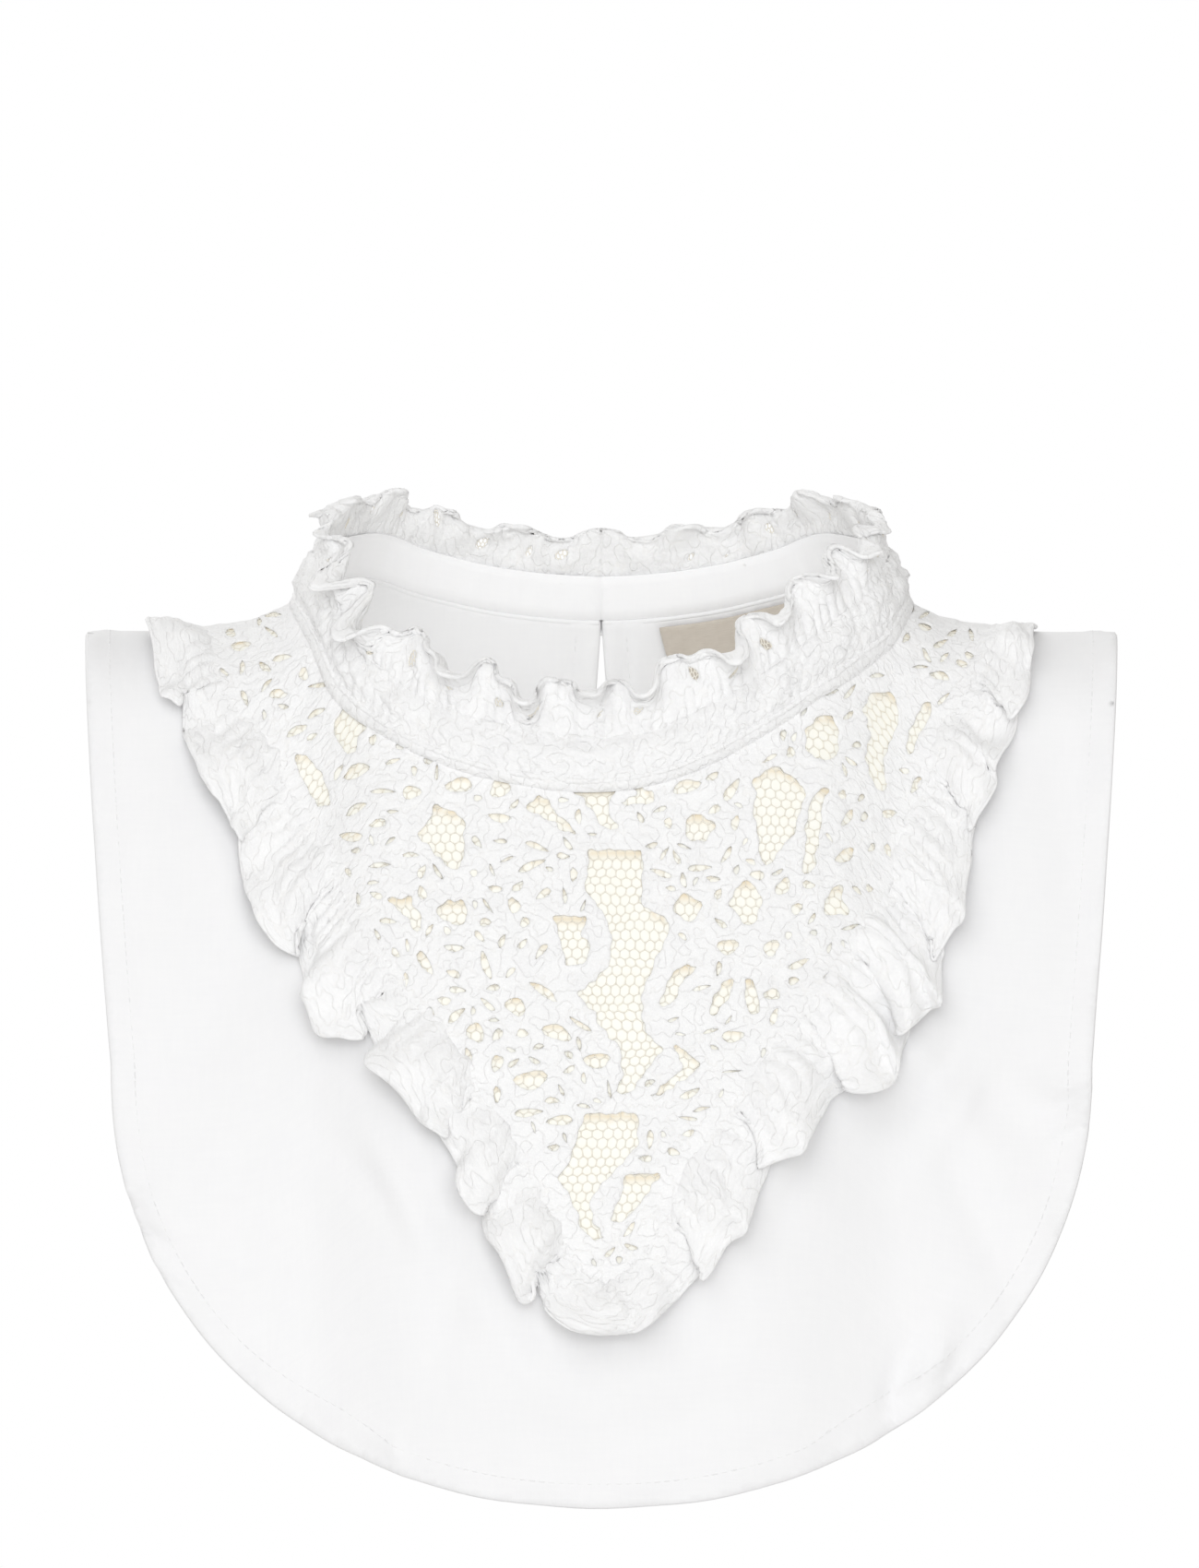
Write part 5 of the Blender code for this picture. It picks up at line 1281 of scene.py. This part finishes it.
left, right = yokeSeamLine(1), yokeSeamLine(2)
vLine = np.concatenate([left, right[::-1][1:]])
vAlong = lengthsAlong(vLine)
vTip, vLength = vAlong[len(left) - 1], vAlong[-1]
vAt = np.linspace(0, vLength, 177)
vSeam = pointsAt(vAt, vAlong, vLine)
vSeam[0, 1] = vSeam[-1, 1] = figure["shoulderSeam"] + vFrillShape["end"]
vSeam = softened(vSeam, 4)
vWay = unit(np.gradient(vSeam, axis=0))


def vFrillPoint(flat):
    # Each fold fills out towards its lower end, hangs over the next one and waves at its edge
    shape = vFrillShape
    at, row = flat[:, 0], (flat[:, 1] + shape["tuck"]) / (shape["width"] + shape["tuck"])
    seam, way = pointsAt(at, vAt, vSeam), unit(pointsAt(at, vAt, vWay))
    out = np.stack([-way[:, 1], way[:, 0]], axis=1)
    onLeft = at <= vTip
    share = np.where(onLeft, at / vTip, (vLength - at) / (vLength - vTip))
    within, lift, reach, fold = (
        np.where(onLeft, a, b)
        for a, b in zip(foldFrames(share, leftFolds), foldFrames(share, rightFolds))
    )
    still = at * 0
    nearTip = bell((at - vTip) / shape["tipStraight"])
    downward = np.where(onLeft, 1.0, -1.0) * (1 - nearTip)
    place = clamped(within)
    fullAt, crestAt = shape["fullAt"], shape["crestAt"]
    swell = np.where(place < fullAt, eased(place / fullAt), eased((1 - place) / (1 - fullAt)))
    crest = np.where(place < crestAt, eased(place / crestAt) ** 1.1, eased((1 - place) / (1 - crestAt)))
    rounded = np.sin(math.pi * clamped(0.06 + 0.94 * place)) ** 0.7
    ends = eased((np.minimum(at, vLength - at) - shape["endFrom"]) / shape["endOver"])
    high = clamped(row, 0, 1.15)
    tucked = clamped(0.40 + 0.40 * uneven(at, still, 0.026, 44))
    # How far out from the seam
    spread = shape["width"] * reach * (1 - shape["narrow"] * row ** 2 * (1 - rounded))
    spread *= 1 - shape["tipNarrow"] * nearTip
    spread *= (0.80 + 0.20 * ends) * (1 + 0.06 * row * uneven(at, still, 0.0105, 47))
    away = -shape["tuck"] + (spread + shape["tuck"]) * (row - shape["tuckBack"] * row ** 5 * tucked)
    away = away - crumpled(at, still, shape["rootWaves"]) * clamped(1 - 2 * row)
    # How far along the seam
    slide = shape["swing"] * clamped(row, 0, 1.1) ** 1.2 * swell * downward * ends
    phase = 2 * math.pi * 2 * within + 1.3 * np.sin(fold * 2.1) + 1.2 * uneven(at, still, 0.02, 46)
    vary = 0.75 + 0.4 * np.sin(fold * 1.7 + within * 4)
    slide = slide + shape["waveSlide"] * vary * np.sin(phase) * clamped(row, 0, 1.1) * ends
    bumpy = clamped(row * 2, 0, 1) * (0.3 + 0.7 * ends)
    slump = crumpled(at, flat[:, 1], shape["slump"]) * bumpy
    # Both moves stop at the shoulder
    leastDepth = figure["shoulderSeam"] + shape["end"]
    place = seam + out * away[:, None] + way * slide[:, None]
    place[:, 1] = np.maximum(place[:, 1], leastDepth)
    place = place + way * slump[:, None]
    place[:, 1] = np.maximum(place[:, 1], leastDepth)
    # How far off the cloth
    root = yoke["laceLift"] + 0.0001
    low = root + (shape["low"] - root) * eased((away - shape["lowFrom"]) / shape["lowOver"])
    domed = np.sin(math.pi * 0.90 * clamped(high) ** 0.8)
    profile = domed * tucked + high ** 0.9 * (1 - tucked)
    height = low + shape["lift"] * lift * (0.02 + 0.98 * crest) * profile * (0.05 + 0.95 * ends)
    height += shape["waveLift"] * vary * np.sin(phase + 0.9 + 2.2 * row) * clamped(1.3 * row) * ends
    height += crumpled(at, flat[:, 1] * 0.9, shape["crumple"]) * bumpy
    height += crumpled(at, flat[:, 1], shape["grain"]) * bumpy
    curl = eased((row - shape["lipFrom"]) / shape["lipOver"])
    height += shape["lip"] * curl * (0.4 + 0.6 * np.sin(phase + 2.1)) * (0.1 + 0.9 * ends)
    tipWave = np.sin((at - vTip) * 2 * math.pi / shape["tipWavePitch"] + 2.4 * row + 0.8)
    atTip = bell((at - vTip) / shape["tipWide"])
    height += (shape["tipLift"] + shape["tipWave"] * tipWave) * atTip * clamped(1.2 * row)
    pleats = np.sin(at * 2 * math.pi / shape["pleatPitch"] + 2.4 * uneven(at, still, 0.020, 45))
    height += shape["pleat"] * pleats * bell((row - shape["pleatAt"]) / shape["pleatWide"])
    beadWaves = np.sin(flat[:, 1] * 2 * math.pi / shape["beadRow"] + np.sin(at * 600))
    beads = np.sin(at * 2 * math.pi / shape["beadPitch"]) * beadWaves
    height += shape["bead"] * beads * bell((row - shape["beadAt"]) / shape["beadWide"])
    lowest = shape["least"] + 0.0004 * high - 0.0008 * bell((away + 0.001) / 0.003)
    return clothPoint(place[:, 0], place[:, 1], np.maximum(height, lowest))


vLower = np.stack([vAt, np.zeros(len(vAt)) - vFrillShape["tuck"]], axis=1)
vTopAt = np.arange(0, vLength, 0.0009)
vUpper = np.stack([vTopAt, vFrillShape["width"] + picotEdge(vTopAt) * 1.2], axis=1)
vCut = filledLoop(np.concatenate([spaced(vLower, 0.0012), vUpper[::-1]]), 0.0011)
flat, faces = cutSheet(vCut, [], meshStep(vFrillShape["step"]))
fuller = eased((flat[:, 1] + vFrillShape["tuck"]) / 0.004)
walls = vFrillShape["rootWall"] + (vFrillShape["wall"] - vFrillShape["rootWall"]) * fuller
vFrill = makeShell("vFrill", flat, faces, vFrillPoint(flat), walls, laceFinish)
standFor("v_frill")
print("frill round the V made")


# Label, button and loop at the back

label = dict(
    middle=0.036, width=0.041, drop=0.0150, lean=0.004, belowSeam=0.0016, clear=0.0014,
    wave=0.0002, wall=0.0006, light=(0.60, 0.545, 0.475), dark=(0.54, 0.485, 0.415),
)
satin = dict(
    ribs=(30, 420), clouds=26.0, darkAt=0.35, lightAt=0.62, relief=0.4, depth=0.0002,
    gloss={"Roughness": 0.45, "Sheen Weight": 0.3},
)


def satinFinish(name, light, dark):
    # Ribs across the strip under soft clouds
    finish, tree, shader = newFinish(name)
    place = clothPlace(tree)
    ribs = noiseOf(tree, stretched(tree, place, *satin["ribs"]), 1.0, 2.0)
    clouds = noiseOf(tree, place, satin["clouds"], 4.0)
    tone = weighed(tree, ribs, 0.5, clouds, 0.5)
    color = colorRamp(tree, tone, [(satin["darkAt"], dark), (satin["lightAt"], light)])
    tree.links.new(color, shader.inputs["Base Color"])
    setRelief(tree, shader, ribs, satin["relief"], satin["depth"])
    setSockets(shader, satin["gloss"])
    return finish


def makeLabel():
    finish = satinFinish("beigeSatin", label["light"], label["dark"])
    across, down = np.linspace(0, 1, 34), np.linspace(0, 1, 15)
    grid = np.array([(a, d) for a in across for d in down])
    x = label["middle"] - label["width"] / 2 + label["width"] * grid[:, 0]
    back = neckHalf(False)
    depth = np.interp(x, back[:, 0], back[:, 1]) - label["belowSeam"] - label["drop"] * grid[:, 1]
    x = x + label["lean"] * grid[:, 1]
    fold = label["wave"] * np.sin(grid[:, 0] * 5 + grid[:, 1] * 2) * grid[:, 1]
    middle = clothPoint(x, depth, fold - label["clear"])
    rows = len(down)
    faces = []
    for i in range(len(across) - 1):
        for a in range(i * rows, i * rows + rows - 1):
            faces += [(a, a + 1, a + 1 + rows), (a, a + 1 + rows, a + rows)]
    flat = grid * np.array([label["width"], label["drop"]])
    return makeShell("neckLabel", flat, np.array(faces), middle, label["wall"], finish, flip=False)


neckLabel = makeLabel()
standFor("neck_label")

button = dict(radius=0.0048, thick=0.0026, side=0.0062, sides=48, clear=0.0003, onBand=0.42)


def closureFrame():
    point, _, up = ringFrames(np.array([0.0]))
    middle = point[0] + up[0] * collar["bandHeight"] * button["onBand"]
    return middle, np.array([0.0, 1.0, 0.0]), up[0]


def shellFinish(name):
    finish, tree, shader = newFinish(name)
    place = addNode(tree, "ShaderNodeTexCoord").outputs["Object"]
    rings = addNode(tree, "ShaderNodeTexWave", {"Vector": place, "Scale": 60.0, "Distortion": 6.0})
    color = colorRamp(tree, rings.outputs["Fac"], [(0.2, (0.80, 0.78, 0.74)), (0.8, (0.90, 0.88, 0.86))])
    tree.links.new(color, shader.inputs["Base Color"])
    setSockets(shader, {"Roughness": 0.22, "Coat Weight": 0.4})
    return finish


def makeButton():
    # A turned disc with a raised rim and a shank
    middle, out, up = closureFrame()
    middle = middle + np.array([button["side"], 0, 0]) + out * (collar["bandWall"] / 2 + button["clear"])
    radius, thick, sides = button["radius"], button["thick"], button["sides"]
    profile = (
        (0.0011, 0.0), (0.0011, 0.0011), (radius * 0.80, 0.0012), (radius * 0.93, 0.0015),
        (radius, 0.0020), (radius * 0.985, 0.0025), (radius * 0.93, 0.0030),
        (radius * 0.84, 0.00325), (radius * 0.76, 0.0031), (radius * 0.66, 0.0029),
        (radius * 0.45, 0.0030), (radius * 0.2, 0.0012 + thick * 0.74),
    )
    vertices = [middle]
    for wide, height in profile:
        for turn in np.linspace(0, 2 * math.pi, sides, endpoint=False):
            around = math.cos(turn) * np.array([1.0, 0, 0]) + math.sin(turn) * up
            vertices.append(middle + out * height + wide * around)
    vertices.append(middle + out * (0.0012 + thick * 0.73))
    last, faces = len(vertices) - 1, []
    for side in range(sides):
        after = (side + 1) % sides
        faces.append((0, 1 + side, 1 + after))
        for level in range(len(profile) - 1):
            base = 1 + level * sides
            faces.append((base + side, base + sides + side, base + sides + after, base + after))
        base = 1 + (len(profile) - 1) * sides
        faces.append((last, base + after, base + side))
    return addMesh("backButton", vertices, faces, shellFinish("whiteShell"))


backButton = makeButton()
standFor("back_button")

loop = dict(wire=0.00055, root=-0.0045, around=0.0021, twist=0.12)


def makeLoop():
    middle, out, up = closureFrame()
    away, around = collar["bandWall"] / 2 + button["clear"] + loop["wire"], loop["around"]
    run = np.linspace(loop["root"], button["side"], 16)[:-1]
    bend = np.radians(np.linspace(-90, 90, 19))
    side = np.concatenate([run, button["side"] + around * np.cos(bend), run[::-1]])
    rise = np.concatenate([run * 0 - around, around * np.sin(bend), run * 0 + around])
    line = middle + out * away + side[:, None] * np.array([1.0, 0, 0]) + rise[:, None] * up
    twist = 1 + loop["twist"] * np.sin(np.arange(len(line)) * 2.2)
    ups = np.tile(out, (len(line), 1))
    return addCord("threadLoop", line, ups, loop["wire"] * twist, threadFinish)


threadLoop = makeLoop()
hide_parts("thread_loop")
print("label, button and loop made")


# Stitching: topstitch of the hems and round the opening, and the cords of the neck seam

stitch = dict(
    long=0.0019, apart=0.0006, radius=0.00013, dip=0.00012, sides=5, spots=(0, 0.18, 0.5, 0.82, 1.0),
    thick=(0.5, 0.95, 1.0, 0.95, 0.5), lift=0.00095, insideLift=0.00002, trim=3,
)


def stitchesOn(line, lift, inward=False):
    # Short threads along a line on the poplin, each with its ends pressed into the cloth
    line = spaced(line, 0.002)
    points = clothPoint(line[:, 0], line[:, 1], np.full(len(line), lift), poplinCreases)
    normals = bareNormal(line[:, 0], line[:, 1]) * (-1 if inward else 1)
    along = lengthsAlong(points)
    long, apart, radius, dip = stitch["long"], stitch["apart"], stitch["radius"], stitch["dip"]
    starts = np.arange(apart / 2, along[-1] - long, long + apart)
    at = starts[:, None] + long * np.array(stitch["spots"])
    up = pointsAt(at, along, normals)
    rise = np.array([-dip, radius * 0.7, radius, radius * 0.7, -dip])
    return pointsAt(at, along, points) + up * rise[None, :, None], up


def sewn(name, rows):
    lines, ups = (np.concatenate(parts) for parts in zip(*rows))
    radii = stitch["radius"] * np.array(stitch["thick"])
    return addTubes(name, lines, ups, radii, stitch["sides"], threadFinish)


trim = stitch["trim"]
frontStitchLine = movedAside(frontHemLine, poplin["stitchInset"])[trim:-trim]
sewn("frontHemStitches", [stitchesOn(frontStitchLine, stitch["lift"])])
backRows = []
for sign in (1, -1):
    line = onSide(movedAside(backHemLine, poplin["stitchInset"])[trim:-trim], sign)
    opening = onSide(slitSide() + np.array([poplin["stitchInset"], 0]), sign)[2:-2]
    backRows.append(stitchesOn(line, stitch["lift"]))
    backRows.append(stitchesOn(opening, stitch["lift"]))
    backRows.append(stitchesOn(opening, stitch["insideLift"], inward=True))
sewn("backStitches", backRows)

cords = dict(
    step=0.0008, end=0.0004, seam=0.00070, seamDown=0.0016, seamOut=0.0004,
    lumps=(0.22, 0.0026, 51), waves=(0.12, 0.009, 52), facing=0.0008, facingDown=0.0006,
    facingIn=0.0012,
)
ringAt = np.arange(collar["halfGap"] + cords["end"], ringLength - collar["halfGap"], cords["step"])
point, out, up = ringFrames(ringAt)
lumps = 1 + crumpled(ringAt, ringAt * 0, cords["lumps"]) + crumpled(ringAt, ringAt * 0, cords["waves"])
line = point - up * cords["seamDown"] + out * cords["seamOut"]
addCord("seamCords", line, out, cords["seam"] * lumps, laceFinish)
line = point - up * cords["facingDown"] - out * cords["facingIn"]
addCord("facingCord", line, out, np.full(len(line), cords["facing"]), poplinFinish)
print("stitching made")


# The cut of each back half, worked out again and not kept


backCut(1)
backCut(-1)


# Camera, floor and light

view = dict(
    mmPerPixel=0.24, middleX=652, zeroY=645, wide=1300, high=1700, distance=8.0, planeY=-0.05, sensor=36,
)
studio = dict(
    floorReach=20.0, floorHeight=-0.86, floorColor=(0.95, 0.95, 0.95, 1), floorRoughness=0.9,
    seen=(1, 1, 1, 1), glow=(1.0, 0.983, 0.952, 1), glowStrength=0.57, lightColor=(0.962, 0.975, 1.0),
)
suns = (  # name, strength, aim, how wide in degrees
    ("keyLight", 0.66, (0.22, 0.80, -0.56), 50),
    ("frontFill", 1.26, (-0.10, 0.99, -0.02), 44),
    ("backLight", 0.95, (0.42, -0.76, -0.50), 30),
)


def addObject(name, data):
    made = bpy.data.objects.new(name, data)
    bpy.context.scene.collection.objects.link(made)
    return made


def makeCamera():
    step = view["mmPerPixel"] / 1000
    camera = addObject("camera", bpy.data.cameras.new("camera"))
    camera.data.sensor_width = view["sensor"]
    camera.data.lens = view["sensor"] * view["distance"] / (view["high"] * step)
    camera.location = (
        (view["wide"] / 2 - view["middleX"]) * step,
        view["planeY"] - view["distance"],
        (view["zeroY"] - view["high"] / 2) * step,
    )
    camera.rotation_euler = (math.pi / 2, 0, 0)
    camera.data.clip_start, camera.data.clip_end = 0.01, 100
    bpy.context.scene.camera = camera


def makeFloor():
    mesh = bpy.data.meshes.new("studioFloor")
    reach, low = studio["floorReach"], studio["floorHeight"]
    corners = [(x * reach, y * reach, low) for x, y in ((-1, -1), (1, -1), (1, 1), (-1, 1))]
    mesh.from_pydata(corners, [], [(0, 1, 2, 3)])
    floor = addObject("studioFloor", mesh)
    pale, _, shader = newFinish("paleFloor")
    setSockets(shader, {"Base Color": studio["floorColor"], "Roughness": studio["floorRoughness"]})
    mesh.materials.append(pale)


def makeLights():
    for name, strength, aim, wide in suns:
        light = bpy.data.lights.new(name, "SUN")
        light.energy, light.color, light.angle = strength, studio["lightColor"], math.radians(wide)
        made = addObject(name, light)
        made.rotation_mode = "QUATERNION"
        made.rotation_quaternion = Vector(aim).to_track_quat("-Z", "Y")


def makeWorld():
    # White behind the collar, and a warmer and weaker glow as its light
    world = bpy.data.worlds.new("studio")
    bpy.context.scene.world = world
    world.use_nodes = True
    tree = world.node_tree
    tree.nodes.clear()
    seen = addNode(tree, "ShaderNodeBackground", {"Color": studio["seen"], "Strength": 1.0})
    warm, strength = studio["glow"], studio["glowStrength"]
    glow = addNode(tree, "ShaderNodeBackground", {"Color": warm, "Strength": strength})
    path = addNode(tree, "ShaderNodeLightPath").outputs["Is Camera Ray"]
    mix = addNode(tree, "ShaderNodeMixShader", {0: path, 1: glow.outputs[0], 2: seen.outputs[0]})
    end = addNode(tree, "ShaderNodeOutputWorld")
    tree.links.new(mix.outputs[0], end.inputs["Surface"])
    settings = bpy.context.scene.view_settings
    settings.view_transform, settings.look, settings.exposure = "Standard", "None", 0.0


makeCamera()
makeFloor()
makeWorld()
makeLights()
print("camera and studio ready")
